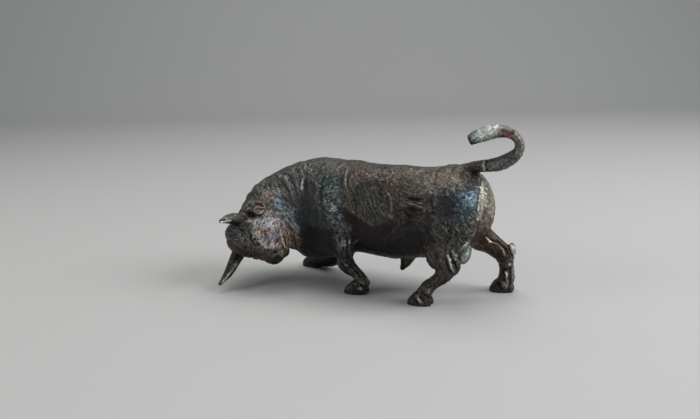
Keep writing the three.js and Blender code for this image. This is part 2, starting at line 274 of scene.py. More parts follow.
bulb((-67, -12, 32.6), (12, 9.5, 10.4), (1, 0, -0.35), (0.35, 0, 1), 5, TRUNK)                   # throat

# ------------------------------------------------------------------ head
POLL = np.array([-95.0, -26.0, 32.3])
AXIS = unit((0.942, -0.238, -0.240))                   # poll to muzzle
FACE = np.array([-0.285, -0.940, -0.182])              # out of the forehead
FACE = unit(FACE - (FACE @ AXIS) * AXIS)
RIGHT = np.cross(AXIS, FACE)                           # the bull's right cheek


def at(along, right, out):
    return POLL + AXIS * along + RIGHT * right + FACE * out


limb([at(-3.6, 0, 0), at(13.3, 0, 0), at(26.5, 0, 0), at(35.2, 0, 0)],
     [8.0, 9.2, 9.2, 8.5, 7.5, 6.6, 6.4, 6.8, 5.8],
     [10.0, 14.0, 15.4, 14.6, 12.2, 9.4, 8.2, 8.0, 6.0],
     [6.0, 8.2, 8.6, 8.0, 6.7, 5.6, 5.4, 5.9, 4.5], side=RIGHT, steps=14, power=2.3, soft=4.0, tag=HEAD)
bulb(at(3.0, 0, 6.0), (7.0, 8.0, 4.6), AXIS, FACE, 2.5, HEAD)                     # curls of the poll
bulb(at(23.0, 0, 4.6), (11.0, 3.6, 3.0), AXIS, FACE, 2.5, HEAD)                   # bone of the nose
bulb(at(33.5, 0, -5.2), (4.8, 4.6, 3.4), AXIS, FACE, 1.6, HEAD)                   # chin
for s in (-1, 1):
    bulb(at(12.5, s * 7.0, 3.4), (5.0, 3.0, 3.2), AXIS + 0.2 * s * RIGHT, FACE, 1.6, HEAD)   # brow
    bulb(at(13.5, s * 7.3, -6.5), (8.6, 4.0, 7.6), AXIS, FACE, 2.5, HEAD)         # cheek
    bulb(at(33.0, s * 3.8, 2.1), (3.3, 3.0, 3.2), AXIS, FACE, 1.2, HEAD)          # wing of the nostril
    bulb(at(3.0, s * 7.0, 3.2), (5.8, 5.4, 5.4), AXIS, FACE, 2.0, HEAD)           # root of the horn
sweep = {
    1: [(2.0, 9.4, 3.0), (5.0, 13.6, 10.5), (9.2, 17.2, 19.5), (12.4, 19.6, 29.0)],
    -1: [(1.0, 10.4, 2.0), (3.6, 15.6, 9.0), (7.4, 20.0, 16.8), (11.4, 23.4, 24.0)],
}
for s in (-1, 1):
    thick = [4.8, 3.8, 2.8, 1.0] if s > 0 else [4.3, 3.6, 2.5, 1.2]
    limb([at(a, s * b, c) for a, b, c in sweep[s]], thick, thick, side=AXIS, steps=10, soft=1.2,
         tag=HORN_R if s > 0 else HORN_L)
bulb((-73.0, -23.6, 34.6), (10.8, 8.4, 9.4), (1, 0, 0), (0, 0, 1), 4.0, HEAD)              # round end of the left jaw
# sockets, eyes and lids
for s in (-1, 1):
    bulb(at(18.8, s * 10.0, 4.0), (3.9, 2.6, 2.9), AXIS - 0.1 * s * RIGHT - 0.2 * FACE, s * RIGHT, 1.0, HEAD, carve=True)
    bulb(at(18.8, s * (8.4 if s < 0 else 7.5), 3.5), (2.5, 2.1, 2.0), AXIS - 0.2 * FACE, s * RIGHT, 0.35, HEAD)
    for lift, amount in ((1.0, 1.9), (-1.0, 1.6)):
        pts = [at(18.8 + 3.5 * math.cos(q), s * ((9.5 if s < 0 else 8.4) - 1.3 * abs(math.cos(q))), 3.6 - 0.6 * math.cos(q) + lift * amount * math.sin(q))
               for q in np.linspace(0.12, math.pi - 0.12, 6)]
        limb(pts, [0.55, 0.8, 0.55], [0.55, 0.8, 0.55], side=FACE, steps=6, soft=0.7, tag=HEAD)
    # nostril and mouth
    bulb(at(35.6, s * 3.4, 3.4), (1.4, 0.9, 1.1) if s < 0 else (1.7, 1.3, 1.4), AXIS + 0.5 * s * RIGHT, FACE, 0.8, HEAD, carve=True)
    limb([at(40.4, 0, -3.2), at(38.6, s * 4.8, -3.3), at(33.5, s * 7.0, -3.4), at(28.5, s * 7.4, -4.6)], [0.7, 0.75, 0.5], [0.6, 0.6, 0.4],
         side=FACE, steps=8, soft=0.7, carve=True)

# ears: round shells with a thick rolled rim and a swelling inside, opening forward
for s in (-1, 1):
    out = unit(RIGHT * s * 0.80 - 0.1 * FACE + AXIS * 0.55)
    tag = EAR_R if s > 0 else EAR_L
    if s < 0:
        c, face_out = np.array([-86.4, -22.6, 47.6]), unit((0.30, -0.86, 0.40))
        along = unit(np.array([1.0, 0.25, 0.1]) - (np.array([1.0, 0.25, 0.1]) @ face_out) * face_out)
        across = np.cross(face_out, along)
        ear = lambda a, b, h: c + along * a + across * b + face_out * h
        bulb(ear(1.0, 0, 0), (7.2, 6.4, 3.1), along, face_out, 2.6, tag)
        limb([ear(*q) for q in [(-4.0, -0.8, 3.2), (-3.8, -3.4, 3.0), (-1.6, -5.1, 2.8), (1.8, -5.7, 2.4), (5.3, -4.8, 2.2)]],
             [1.1, 2.1, 2.0, 1.3, 0.7], [0.9, 1.9, 1.6, 1.0, 0.6], side=face_out, steps=8, soft=0.8, carve=True)
        bulb(ear(2.9, -0.2, 1.9), (4.4, 3.4, 2.6), along, face_out, 0.5, tag)
        limb([ear(*q) for q in [(-4.9, -1.6, 1.5), (-4.8, 1.8, 2.0), (-2.7, 4.2, 2.4), (0.6, 5.2, 2.4), (4.2, 4.3, 2.4), (7.0, 1.7, 2.0), (7.9, -1.3, 1.4)]],
             [0.8, 1.1, 1.2, 1.1, 1.1, 1.1, 0.9], [0.7, 0.9, 1.0, 0.9, 0.9, 0.9, 0.8], side=face_out, steps=14, soft=0.6, tag=tag)
    else:
        c = at(4.2, s * 15.0, -9.5)
        bulb(c, (8.2, 5.6, 3.6), out, FACE, 1.5, tag)
        bulb(c + FACE * 3.0 + out * 0.4, (5.2, 3.3, 2.6), out, FACE, 0.8, tag, carve=True)

# ------------------------------------------------------------------ legs
legs = {
    NEAR_HIND: dict(
        points=[(40, -12, 58), (38.6, -15.5, 46), (37.6, -17.6, 37.5), (38.2, -18.8, 31), (40.9, -19.2, 25.6), (40.2, -19.4, 20.2), (35.0, -19.3, 15.2), (30.0, -19.0, 10.9), (27.2, -18.2, 6.2)],
        wide=[9.5, 9.2, 8.2, 6.8, 5.2, 4.1, 3.6, 3.9, 4.4], up=[14.6, 13.6, 10.9, 9.5, 7.6, 5.2, 3.7, 4.1, 4.6], hoof=(25.4, -17.8, 4)),
    FAR_HIND: dict(
        points=[(42, 12, 54), (42, 16, 43), (46.3, 19.5, 34.6), (55.0, 21.6, 28.8), (61.7, 22.6, 23.4), (63.6, 23.2, 16), (63.2, 23.8, 9.5), (62.0, 24, 4.8)],
        wide=[9.5, 9.0, 7.2, 5.6, 4.6, 4.1, 4.3, 4.6], up=[15.0, 12.0, 9.4, 6.4, 5.6, 4.3, 4.4, 4.8], hoof=(60.9, 24.6, 8)),
    NEAR_FORE: dict(
        points=[(-31, -14, 48), (-27, -16.4, 38), (-24.4, -17.4, 29.5), (-24.6, -17.6, 22.6), (-22.9, -17.6, 17.0), (-17.6, -17.4, 13.2), (-13.8, -17.2, 8.8), (-14.8, -16.8, 4.8)],
        wide=[9.0, 7.6, 5.4, 4.5, 4.5, 3.4, 3.7, 4.2], up=[11.5, 8.4, 5.6, 4.8, 4.9, 3.6, 3.6, 4.6], hoof=(-17.8, -15.6, 6)),
    FAR_FORE: dict(
        points=[(-40, 13, 42), (-44, 15.5, 30), (-47, 17.4, 20), (-52.0, 18.8, 12), (-58, 20.2, 8.0), (-64, 21.2, 6.2), (-69.0, 21.8, 5.0)],
        wide=[9.0, 7.8, 6.6, 5.6, 5.0, 4.6, 4.8], up=[11.5, 10.0, 9.0, 7.8, 6.6, 5.6, 4.8], hoof=(-71.4, 22.4, -4)),
}
HOOF_LENGTH, HOOF_WIDTH, HOOF_HEIGHT = 14.8, 11.4, 7.0
for tag, leg in legs.items():
    limb(leg["points"], leg["wide"], leg["up"], side=(0, 1, 0), steps=18, soft=4.5 if tag != FAR_FORE else 4.0, tag=tag)
    x, y, heading = leg["hoof"]
    h = math.radians(heading)
    f, s_ = np.array([-math.cos(h), -math.sin(h), 0]), np.array([math.sin(h), -math.cos(h), 0])
    base = np.array([x, y, 0.0])
    for s in (-1, 1):
        # one claw of the cloven hoof, and the dewclaw behind it
        bulb(base + f * 0.2 + s_ * s * 2.6 + (0, 0, 1.2), (HOOF_LENGTH / 2 - 0.2, 3.2, HOOF_HEIGHT - 0.9), f + 0.10 * s * s_ - (0, 0, 0.12), (0, 0, 1), 0.7, HOOF)
        bulb(base - f * 5.2 + s_ * s * 2.7 + (0, 0, 5.9 if tag == NEAR_FORE else 8.0), (2.3 if tag == NEAR_FORE else 1.9, 1.5, 2.3), f, (0, 0, 1), 0.9, tag)
    bulb(base - f * 2.0 + (0, 0, 7.0), (5.0, 4.9, 2.5), f - (0, 0, 0.25), (0, 0, 1), 1.4, tag)  # crown of the hoof
# joints and tendons
bulb((41.6, -19.2, 24.4), (4.4, 5.0, 5.2), (1, 0, -0.4), (0.4, 0, 1), 2.0, NEAR_HIND)                       # hocks
bulb((46.6, -18.6, 24.4), (2.8, 2.8, 4.6), (1, 0, -0.5), (0.5, 0, 1), 1.6, NEAR_HIND)
bulb((63.4, 22.6, 23.0), (4.0, 4.4, 5.6), (1, 0, 0), (-0.1, 0, 1), 2.0, FAR_HIND)
bulb((66.9, 22.2, 26.2), (2.6, 2.8, 5.0), (1, 0, 0), (-0.3, 0, 1), 1.6, FAR_HIND)
bulb((-24.2, -18.0, 18.6), (4.6, 4.8, 4.6), (1, 0, 0.3), (-0.3, 0, 1), 1.8, NEAR_FORE)                      # knees
bulb((-50.0, 18.6, 13.6), (5.4, 5.2, 5.2), (1, 0, 0.5), (-0.5, 0, 1), 1.8, FAR_FORE)
bulb((-13.2, -16.4, 6.4), (1.9, 2.3, 2.1), (1, 0, 0), (0, 0, 1), 1.0, NEAR_FORE)                            # fetlock

# ------------------------------------------------------------------ tail
tail = [(43, 0, 75.6), (49, 0, 78.4), (54.5, 0, 80.0), (60.5, 0, 80.9), (66.0, 0, 82.2)]
for i in range(6):
    a = math.radians(-52 + 31 * i)
    tail.append((65.8 + 10.6 * math.cos(a), 0, 92.2 + 8.0 * math.sin(a)))
tail += [(57.0, 0, 98.4), (52.6, 0, 96.8), (47.9, 0, 94.5)]
thick = [4.6, 3.7, 3.4, 3.8, 4.0, 3.6, 3.0, 2.7, 2.7, 3.1, 3.8, 4.3, 3.8, 3.1]
limb(tail, thick, thick, side=(0, 1, 0), steps=32, soft=1.4, tag=TAIL, cap=0.18)
end = unit(np.array(tail[-1], float) - np.array(tail[-2], float))
bulb(np.array(tail[-1]) + end * 1.9 - (0, 0.7, 0), (2.6, 2.1, 2.3), end, (0, 1, 0), 0.4, TAIL, carve=True)                  # broken end

# ------------------------------------------------------------------ underside
for s in (-1, 1):
    bulb((46.8 - 2.6 * (s > 0), s * 3.4 - 0.6, 29.6 + 0.4 * s), (3.9, 3.7, 6.8), (1, 0, -0.25), (0.25, 0, 1), 0.7, BALLS)
    limb([(47.4 - 2.2 * (s > 0), s * 2.8 - 0.6, 34.0), (49.0 - 2.2 * (s > 0), s * 2.4, 40.0)], [2.6, 3.4], [2.4, 3.4], side=(0, 1, 0), steps=3, soft=0.9, tag=BALLS)
limb([(11, 0, 26), (9.2, 0, 21.6), (7.4, 0, 17.4), (5.3, 0, 13.6)], [5.0, 4.2, 3.2, 1.5], [5.0, 4.3, 3.1, 1.5],
     side=(0, 1, 0), steps=6, soft=2.0, tag=SHEATH)

# the soles are flat
field = np.maximum(field, -AXES[2][None, None, :])


# ------------------------------------------------------------------ skin over the field
def skin(f):
    inside = f < 0
    s = inside.astype(np.uint8)
    n = s[:-1] + s[1:]
    n = n[:, :-1] + n[:, 1:]
    n = n[:, :, :-1] + n[:, :, 1:]
    active = (n > 0) & (n < 8)
    index = np.full(active.shape, -1, np.int32)
    cells = np.argwhere(active)
    index[active] = np.arange(len(cells), dtype=np.int32)
    corners = np.array([(a, b, c) for a in (0, 1) for b in (0, 1) for c in (0, 1)])
    value = np.stack([f[cells[:, 0] + a, cells[:, 1] + b, cells[:, 2] + c] for a, b, c in corners], 1).astype(float)
    total, hits = np.zeros((len(cells), 3)), np.zeros(len(cells))
    for i in range(8):
        for j in range(i + 1, 8):
            if np.abs(corners[i] - corners[j]).sum() != 1:
                continue
            va, vb = value[:, i], value[:, j]
            cross = (va < 0) != (vb < 0)
            t = np.where(cross, va / np.where(va == vb, 1, va - vb), 0)
            total += np.where(cross[:, None], corners[i] + t[:, None] * (corners[j] - corners[i]), 0)
            hits += cross
    points = LOW + CELL * (cells + total / np.maximum(hits, 1)[:, None])
    faces = []
    for axis in range(3):
        u, v = (axis + 1) % 3, (axis + 2) % 3
        a = np.take(inside, range(inside.shape[axis] - 1), axis)
        b = np.take(inside, range(1, inside.shape[axis]), axis)
        e = np.argwhere(a != b)
        e = e[(e[:, u] > 0) & (e[:, v] > 0) & (e[:, u] < inside.shape[u] - 1) & (e[:, v] < inside.shape[v] - 1)]
        out = inside[e[:, 0], e[:, 1], e[:, 2]]
        du, dv = np.eye(3, dtype=int)[u], np.eye(3, dtype=int)[v]
        q = np.stack([index[tuple((e - du * p - dv * r).T)] for p, r in ((1, 1), (0, 1), (0, 0), (1, 0))], 1)
        faces.append(np.where(out[:, None], q, q[:, ::-1]))
    return points, np.concatenate(faces)


def keep_largest(points, faces):
    """drops any loose crumb of the field"""
    root = np.arange(len(points))
    edges = np.concatenate([faces[:, [0, 1]], faces[:, [1, 2]], faces[:, [2, 3]]])
    while True:
        low = np.minimum(root[edges[:, 0]], root[edges[:, 1]])
        new = root.copy()
        np.minimum.at(new, edges[:, 0], low)
        np.minimum.at(new, edges[:, 1], low)
        new = new[new]
        if (new == root).all():
            break
        root = new
    name, count = np.unique(root, return_counts=True)
    keep = root == name[count.argmax()]
    order = np.cumsum(keep) - 1
    return points[keep], order[faces[keep[faces[:, 0]]]]


def sample(p):
    """the field and its slope at points, by linear steps"""
    q = (p - LOW) / CELL
    b = np.clip(np.floor(q).astype(int), 0, COUNT - 2)
    f = q - b
    v = {}
    for dx in (0, 1):
        for dy in (0, 1):
            for dz in (0, 1):
                v[dx, dy, dz] = field[b[:, 0] + dx, b[:, 1] + dy, b[:, 2] + dz].astype(float)
    fx, fy, fz = f[:, 0], f[:, 1], f[:, 2]
    mix = lambda a, b, t: a + (b - a) * t
    gx = mix(mix(v[1, 0, 0] - v[0, 0, 0], v[1, 1, 0] - v[0, 1, 0], fy), mix(v[1, 0, 1] - v[0, 0, 1], v[1, 1, 1] - v[0, 1, 1], fy), fz)
    gy = mix(mix(v[0, 1, 0] - v[0, 0, 0], v[1, 1, 0] - v[1, 0, 0], fx), mix(v[0, 1, 1] - v[0, 0, 1], v[1, 1, 1] - v[1, 0, 1], fx), fz)
    gz = mix(mix(v[0, 0, 1] - v[0, 0, 0], v[1, 0, 1] - v[1, 0, 0], fx), mix(v[0, 1, 1] - v[0, 1, 0], v[1, 1, 1] - v[1, 1, 0], fx), fy)
    x = mix(mix(mix(v[0, 0, 0], v[1, 0, 0], fx), mix(v[0, 1, 0], v[1, 1, 0], fx), fy),
            mix(mix(v[0, 0, 1], v[1, 0, 1], fx), mix(v[0, 1, 1], v[1, 1, 1], fx), fy), fz)
    return x, np.stack([gx, gy, gz], 1) / CELL


def spread(n, edges, x):
    """mean of each point's neighbours"""
    i, j = edges
    count = np.bincount(i, minlength=n) + np.bincount(j, minlength=n)
    if x.ndim == 1:
        return (np.bincount(i, x[j], n) + np.bincount(j, x[i], n)) / np.maximum(count, 1)
    return np.stack([(np.bincount(i, x[j, k], n) + np.bincount(j, x[i, k], n)) / np.maximum(count, 1) for k in range(x.shape[1])], 1)


def normals(points, faces):
    """smooth outward normals of a mesh of quads or triangles"""
    a, b, c = points[faces[:, 0]], points[faces[:, 1]], points[faces[:, 2]]
    if faces.shape[1] == 4:
        d = points[faces[:, 3]]
        n = np.cross(c - a, d - b)
    else:
        n = np.cross(b - a, c - a)
    out = np.zeros_like(points)
    for k in range(faces.shape[1]):
        for m in range(3):
            out[:, m] += np.bincount(faces[:, k], n[:, m], len(points))
    return out / np.maximum(np.linalg.norm(out, axis=1), 1e-12)[:, None]


def edges_of(faces):
    k = faces.shape[1]
    e = np.concatenate([faces[:, [i, (i + 1) % k]] for i in range(k)])
    e = np.unique(np.sort(e, 1), axis=0)
    return e[:, 0], e[:, 1]


def tags_of(p):
    i = np.clip(np.rint((p - LOW) / CELL).astype(int), 0, COUNT - 1)
    return label[i[:, 0], i[:, 1], i[:, 2]]


points, quads = keep_largest(*skin(field))
edges = edges_of(quads)
for _ in range(3):
    points = points + 0.5 * (spread(len(points), edges, points) - points)
    x, g = sample(points)
    points = points - g * np.clip(x / np.maximum((g * g).sum(1), 0.2), -CELL, CELL)[:, None]

# ------------------------------------------------------------------ modelling marks
# Each mark is placed by where the photograph shows it and lies on whatever
# surface of the named forms is seen there.  What the camera doesn't see gets
# the same marks mirrored, so the far side is finished in keeping.
ALL = tuple(range(14))
BODY = (TRUNK,)
marks = []          # ridges and grooves: points, half width px, height mm, forms
swells = []         # broad masses and hollows: u, v, ru, rv, turn, height mm, forms


def ridge(points, width, height, forms=BODY, taper=0.55):
    marks.append((np.asarray(points, float), width, height, forms, taper))


def swell(u, v, ru, rv, turn, height, forms=BODY):
    swells.append((u, v, ru, rv, math.radians(turn), height, forms))


rng = np.random.RandomState(7)


def inside_shape(shape, p):
    shape = np.asarray(shape, float)
    ok = False
    for a, b in zip(shape, np.roll(shape, -1, 0)):
        if (a[1] > p[1]) != (b[1] > p[1]) and p[0] < (b[0] - a[0]) * (p[1] - a[1]) / (b[1] - a[1]) + a[0]:
            ok = not ok
    return ok


fine_marks = set()


def flecks(shape, count, angle, vary, length, width, height, forms=BODY, bend=0.0):
    """short tool marks scattered over an outline"""
    shape = np.asarray(shape, float)
    lo, hi = shape.min(0), shape.max(0)
    made = 0
    while made < count:
        p = lo + rng.rand(2) * (hi - lo)
        if not inside_shape(shape, p):
            continue
        made += 1
        p = p + 1.8 * rng.randn(2)
        a = math.radians(angle(p) if callable(angle) else angle) + math.radians(vary) * rng.randn()
        half = 0.5 * length * (0.6 + 0.8 * rng.rand())
        d, n = np.array([math.cos(a), math.sin(a)]), np.array([-math.sin(a), math.cos(a)])
        k = bend * rng.randn() * half
        ridge([p - d * half, p + n * k, p + d * half], width * (0.8 + 0.4 * rng.rand()), height * (0.6 + 0.8 * rng.rand()), forms)
        fine_marks.add(len(marks) - 1)



def dots(shape, count, size, height, forms=BODY, angle=30, vary=60):
    """stipple: very short marks, some raised and some pressed in"""
    k = len(marks)
    flecks(shape, count, angle, vary, size, 0.62 * size ** 0.5, height, forms)
    for i in range(k, len(marks)):
        if rng.rand() < 0.32:
            pts, width, high, form, taper = marks[i]
            marks[i] = (pts, width, -high, form, taper)


LIMBS = (TRUNK, NEAR_HIND, FAR_HIND, NEAR_FORE, FAR_FORE)

# neck: folds that run down and back from the crest
ridge([(303.8, 177.6), (302.6, 183), (301.8, 189.6)], 0.9, 1.2)
ridge([(306, 178), (305, 186), (305.4, 196)], 2.0, -0.6)
swell(309, 190, 8, 15, 4, -0.6)
ridge([(309, 179), (315, 182), (317.6, 190), (314, 199)], 1.3, 0.4)
ridge([(347, 170), (345.2, 178), (345.6, 187)], 1.2, 0.8)
ridge([(349.6, 172), (347.6, 180), (348.2, 190)], 1.3, -0.4)
ridge([(281, 178), (285, 186), (290, 195)], 1.6, -0.6)
ridge([(284.5, 176), (289, 184), (293.6, 199)], 1.2, 0.7)
ridge([(288, 173.5), (292.5, 182), (297.5, 196)], 1.5, -0.55)
ridge([(293, 171), (296.5, 180), (300, 196)], 1.2, 0.45)
ridge([(298, 170), (299.5, 179), (299, 192)], 1.2, -0.4)
ridge([(274, 181), (278.5, 189), (283, 198)], 1.3, 0.5)
ridge([(268, 184), (273, 192), (277, 200)], 1.3, -0.4)
ridge([(262, 188), (267, 195), (270, 201)], 1.2, 0.4)
flecks([(262, 180), (287, 168), (312, 161), (316, 178), (298, 196), (272, 200), (258, 196)], 120, 62, 18, 6, 0.9, 0.36)
flecks([(250, 190), (262, 180), (275, 196), (266, 202), (248, 204)], 46, 48, 24, 5, 0.9, 0.36)
dots([(258, 184), (287, 168), (316, 159), (346, 162), (346, 178), (316, 180), (300, 198), (272, 201), (250, 198)], 330, 1.9, 0.34)
# throat and cheek side of the neck: long lines that run down and back
for line, width, height in (
        ([(283, 213.4), (288.6, 221), (296.4, 231)], 0.9, 0.75), ([(281.6, 215.6), (286.4, 222.6), (294, 233)], 1.2, -0.5),
        ([(287.6, 213), (292, 220), (297.4, 227)], 0.8, 0.5), ([(279.4, 218), (284, 224), (288.6, 231)], 0.9, 0.45),
        ([(277.4, 208), (282.2, 213.6), (286, 219)], 1.0, -0.4), ([(290.6, 209.6), (295.6, 218), (299, 226)], 1.3, -0.3),
        ([(274.6, 204), (279, 209.6), (283, 214)], 0.8, 0.35)):
    ridge(line, width, height)
ridge([(272, 222), (276, 219.6), (281, 221.2), (284.4, 225.2), (285.2, 230)], 1.2, 0.7, (TRUNK, HEAD))
ridge([(272, 224.6), (276.5, 222.4), (280.4, 224.2), (283, 229)], 1.1, -0.5, (TRUNK, HEAD))
for line, width, height in (
        ([(280.4, 229.6), (281.6, 236.4), (283.0, 243)], 1.0, 0.85), ([(284.8, 233.6), (286.4, 240.4), (288.2, 246.4)], 1.0, 0.9),
        ([(282.8, 231), (284.2, 238), (285.8, 245)], 1.0, -0.6), ([(288.4, 233), (289.6, 240), (292.2, 246)], 0.9, 0.45),
        ([(291, 236), (294.4, 243), (297, 248)], 1.4, -0.5), ([(278.4, 231), (279, 238), (279.8, 244)], 1.1, -0.5),
        ([(295, 236), (299.6, 243), (303, 249)], 1.2, 0.3)):
    ridge(line, width, height, (TRUNK, HEAD))
flecks([(276, 226), (296, 230), (304, 246), (290, 246), (278, 248)], 110, 72, 20, 4.2, 0.68, 0.75, (TRUNK, HEAD))
flecks([(272, 200), (284, 200), (300, 214), (300, 232), (288, 226), (274, 212)], 130, 57, 16, 4.2, 0.66, 0.65)

# shoulder: the blade's edge, the arm and the hollow behind it
swell(341, 196, 15, 30, 8, 1.0)
swell(357, 205, 6, 34, 4, -1.1)
swell(322, 205, 8, 26, 12, -0.8)
swell(306, 214, 12, 26, 10, -1.2)
swell(334, 238, 12, 15, 0, 0.7, (TRUNK, NEAR_FORE))
ridge([(326, 168), (322, 186), (322, 206), (327, 226)], 2.4, -0.4)
ridge([(352, 190), (356, 204), (354, 224)], 2.2, -0.4)
ridge([(316, 205), (323, 211.6), (332, 219)], 0.9, 0.6)
ridge([(314, 206), (312.4, 212), (313, 218)], 0.8, 0.35)
ridge([(317.6, 208), (320, 214), (321, 221)], 0.8, 0.35)
ridge([(309, 219), (311.6, 223), (313, 227)], 1.0, 0.5)
dots([(316, 176), (346, 176), (344, 196), (343, 226), (331, 227), (318, 204)], 330, 2.0, 0.46, LIMBS)
flecks([(324, 182), (338, 180), (340, 204), (330, 208)], 40, 118, 40, 3.4, 0.7, 0.8, LIMBS)
dots([(321, 198), (336, 202), (341, 214), (330, 212)], 46, 3.0, 0.75, LIMBS, 25, 30)
flecks([(326, 224), (350, 224), (354, 250), (336, 254)], 46, 66, 20, 4.4, 0.9, 0.6, LIMBS)
flecks([(344, 192), (356, 196), (368, 224), (350, 214)], 40, 64, 9, 7, 0.75, 0.42)
flecks([(340, 176), (356, 174), (356, 194), (342, 196)], 34, 80, 22, 4.5, 0.8, 0.34)

# ribs: an oval hollow with a crescent edge and slanting hatching
swell(369, 200, 14, 20, 0, -0.8)
ridge([(379.4, 181), (383.8, 188.6), (389.6, 195.6), (391.8, 203), (391, 213)], 1.0, 0.5)
ridge([(376.6, 183), (381, 190.6), (386.4, 197.6), (388.4, 205), (387.6, 214)], 1.6, -0.22)
for k in range(10):
    u = 354.5 + 2.3 * k
    j = 1.4 * math.sin(2.7 * k)
    ridge([(u + j, 190 + 3 * math.sin(5.1 * k)), (u + 6.4 - 0.5 * j, 205 + 0.8 * k), (u + 12.0, 219 + 3 * math.cos(3.3 * k))], 0.7, 0.26 if k % 2 else -0.22)
flecks([(354, 184), (382, 184), (390, 214), (372, 226), (362, 218)], 110, 60, 12, 4.6, 0.75, 0.38)
dots([(352, 168), (394, 167), (398, 188), (384, 184), (372, 180), (356, 182)], 180, 2.0, 0.36)
dots([(362, 184), (384, 188), (388, 214), (370, 212)], 110, 1.9, 0.34)
swell(390.4, 217, 2.2, 2.2, 0, 0.8)
ridge([(393, 166.4), (397, 171), (401, 176.4)], 0.75, 0.55)
ridge([(396.4, 166.4), (400, 170.6), (403.4, 175)], 0.7, 0.5)

# flank and hip
swell(412, 208, 13, 24, -8, -1.1)
swell(452, 207, 24, 24, 0, 0.8)
swell(404, 203, 5, 5, 0, 0.7)
swell(433, 176, 11, 7, -10, 0.6)
swell(404, 178, 13, 9, 0, 0.4)
ridge([(431, 199), (433, 206), (434, 216)], 2.4, -0.45)
ridge([(428, 214), (430, 226), (434, 238)], 2.6, -0.5)
ridge([(407.6, 203.4), (414, 204.4), (422, 207.6)], 0.7, 1.0, BODY, 0.8)
ridge([(409, 207.6), (415, 210.4), (421, 211)], 1.6, -0.8)
ridge([(404.6, 212), (410, 216.6), (417, 219)], 1.8, -0.5)
ridge([(397, 214.6), (401, 219.6), (400.6, 226)], 1.6, -0.35)
ridge([(411, 201), (417, 203), (424, 203.6)], 0.7, 0.5)
ridge([(408.6, 198.2), (414, 199.4), (421.4, 199)], 1.6, -1.0)
ridge([(402.4, 190.4), (409, 193.8), (417, 194.6)], 1.0, 0.5)
dots([(394, 167), (478, 163.5), (479, 180), (470, 188), (440, 190), (424, 198), (398, 190)], 820, 1.9, 0.16, BODY + (TAIL,), 25, 35)
dots([(396, 188), (434, 190), (436, 214), (424, 226), (398, 216)], 260, 2.1, 0.38)
dots([(430, 190), (478, 178), (476, 196), (440, 198), (436, 222), (428, 218)], 190, 2.2, 0.44)
flecks([(436, 222), (474, 216), (472, 234), (464, 246), (446, 248), (438, 240), (444, 232)], 230, 30, 60, 2.8, 0.74, 0.7, LIMBS)
flecks([(440, 224), (474, 220), (472, 234), (464, 246), (446, 247)], 70, 120, 50, 2.6, 0.8, -0.42, LIMBS)
dots([(436, 192), (478, 188), (476, 226), (440, 228)], 240, 1.8, 0.3, LIMBS)
dots([(384, 232), (404, 222), (430, 226), (430, 250), (400, 252), (382, 246)], 60, 2.4, 0.22, LIMBS)

ridge([(476, 224), (474, 233), (469.6, 241), (463, 246.4)], 1.2, 0.45, LIMBS)
ridge([(478.4, 222), (476.4, 233), (472, 242), (465, 248.6)], 1.3, -0.7, LIMBS)
ridge([(428, 221), (433, 229), (440, 236.6), (446, 240)], 1.8, 0.4, LIMBS)
ridge([(424, 226), (429.6, 236), (436, 244)], 2.2, -0.45, LIMBS)
ridge([(441.6, 225.4), (445, 229.6), (449.6, 234.6)], 0.9, 0.9, LIMBS)
ridge([(454.6, 225.6), (456, 228.4), (458.4, 230.6)], 0.9, 0.9, LIMBS)
# buttock, seen behind the edge of the near haunch
ridge([(479.4, 180), (478.8, 192), (477.2, 206), (476.2, 219), (473, 232)], 1.3, -0.3)
ridge([(482.6, 182), (482.8, 194), (482.4, 206), (480, 219)], 1.6, 0.25)
ridge([(486, 184), (489, 196), (490.6, 210), (488, 225)], 1.4, -0.35)
dots([(477, 184), (488, 184), (496, 200), (496, 226), (486, 236), (470, 240), (474, 222)], 320, 1.8, 0.42, LIMBS, 70, 40)
ridge([(481.6, 178), (480, 188), (478, 198), (476.8, 208), (478.6, 216)], 1.0, -0.35, LIMBS)

# belly: low folds
ridge([(384, 240), (391, 233), (398, 226), (405, 222.6)], 1.8, 0.45)
ridge([(359, 243), (372, 249), (390, 252)], 2.0, -0.3)
ridge([(383.6, 237), (386, 241), (385, 246)], 0.9, 0.5)

# near hind leg
leg = (NEAR_HIND, TRUNK)
ridge([(447.6, 255.6), (449.8, 263), (453.4, 272.6)], 0.95, 1.6, leg, 0.8)
ridge([(452.6, 251.4), (454.8, 257.6), (458.2, 263)], 0.9, 1.4, leg)
ridge([(450.2, 253), (453.4, 262), (457.6, 270)], 1.1, -0.9, leg)
ridge([(444.6, 253), (446.6, 262), (450.4, 272)], 1.3, -0.7, leg)
ridge([(427, 252), (432, 262), (437, 268)], 1.4, 0.4, leg)
ridge([(433, 250), (438, 260), (442, 270)], 1.3, -0.4, leg)
ridge([(440, 276), (432, 283), (424, 289)], 1.6, 0.4, leg)
ridge([(446, 279), (437, 287), (430, 292)], 1.3, -0.5, leg)
swell(446, 274, 6, 4, -25, 0.7, leg)
flecks([(424, 244), (458, 244), (456, 262), (436, 262)], 90, 62, 26, 3.2, 0.85, 0.5, leg)
# hoof of the near hind leg: claws, coronet
foot = (NEAR_HIND, HOOF)
ridge([(415.6, 295), (418.4, 299.4), (421.4, 304.4)], 1.0, 0.9, foot)
ridge([(412.8, 296.4), (415.6, 300.6), (418.4, 305)], 1.1, -0.7, foot)
ridge([(419.6, 296), (422.4, 299.6), (424.6, 303.6)], 0.9, -0.6, foot)
swell(427.6, 291.4, 4.2, 3.0, -25, 1.0, foot)
ridge([(411.6, 294), (418, 292.4), (424, 294.4), (429, 298)], 1.1, -0.6, foot)
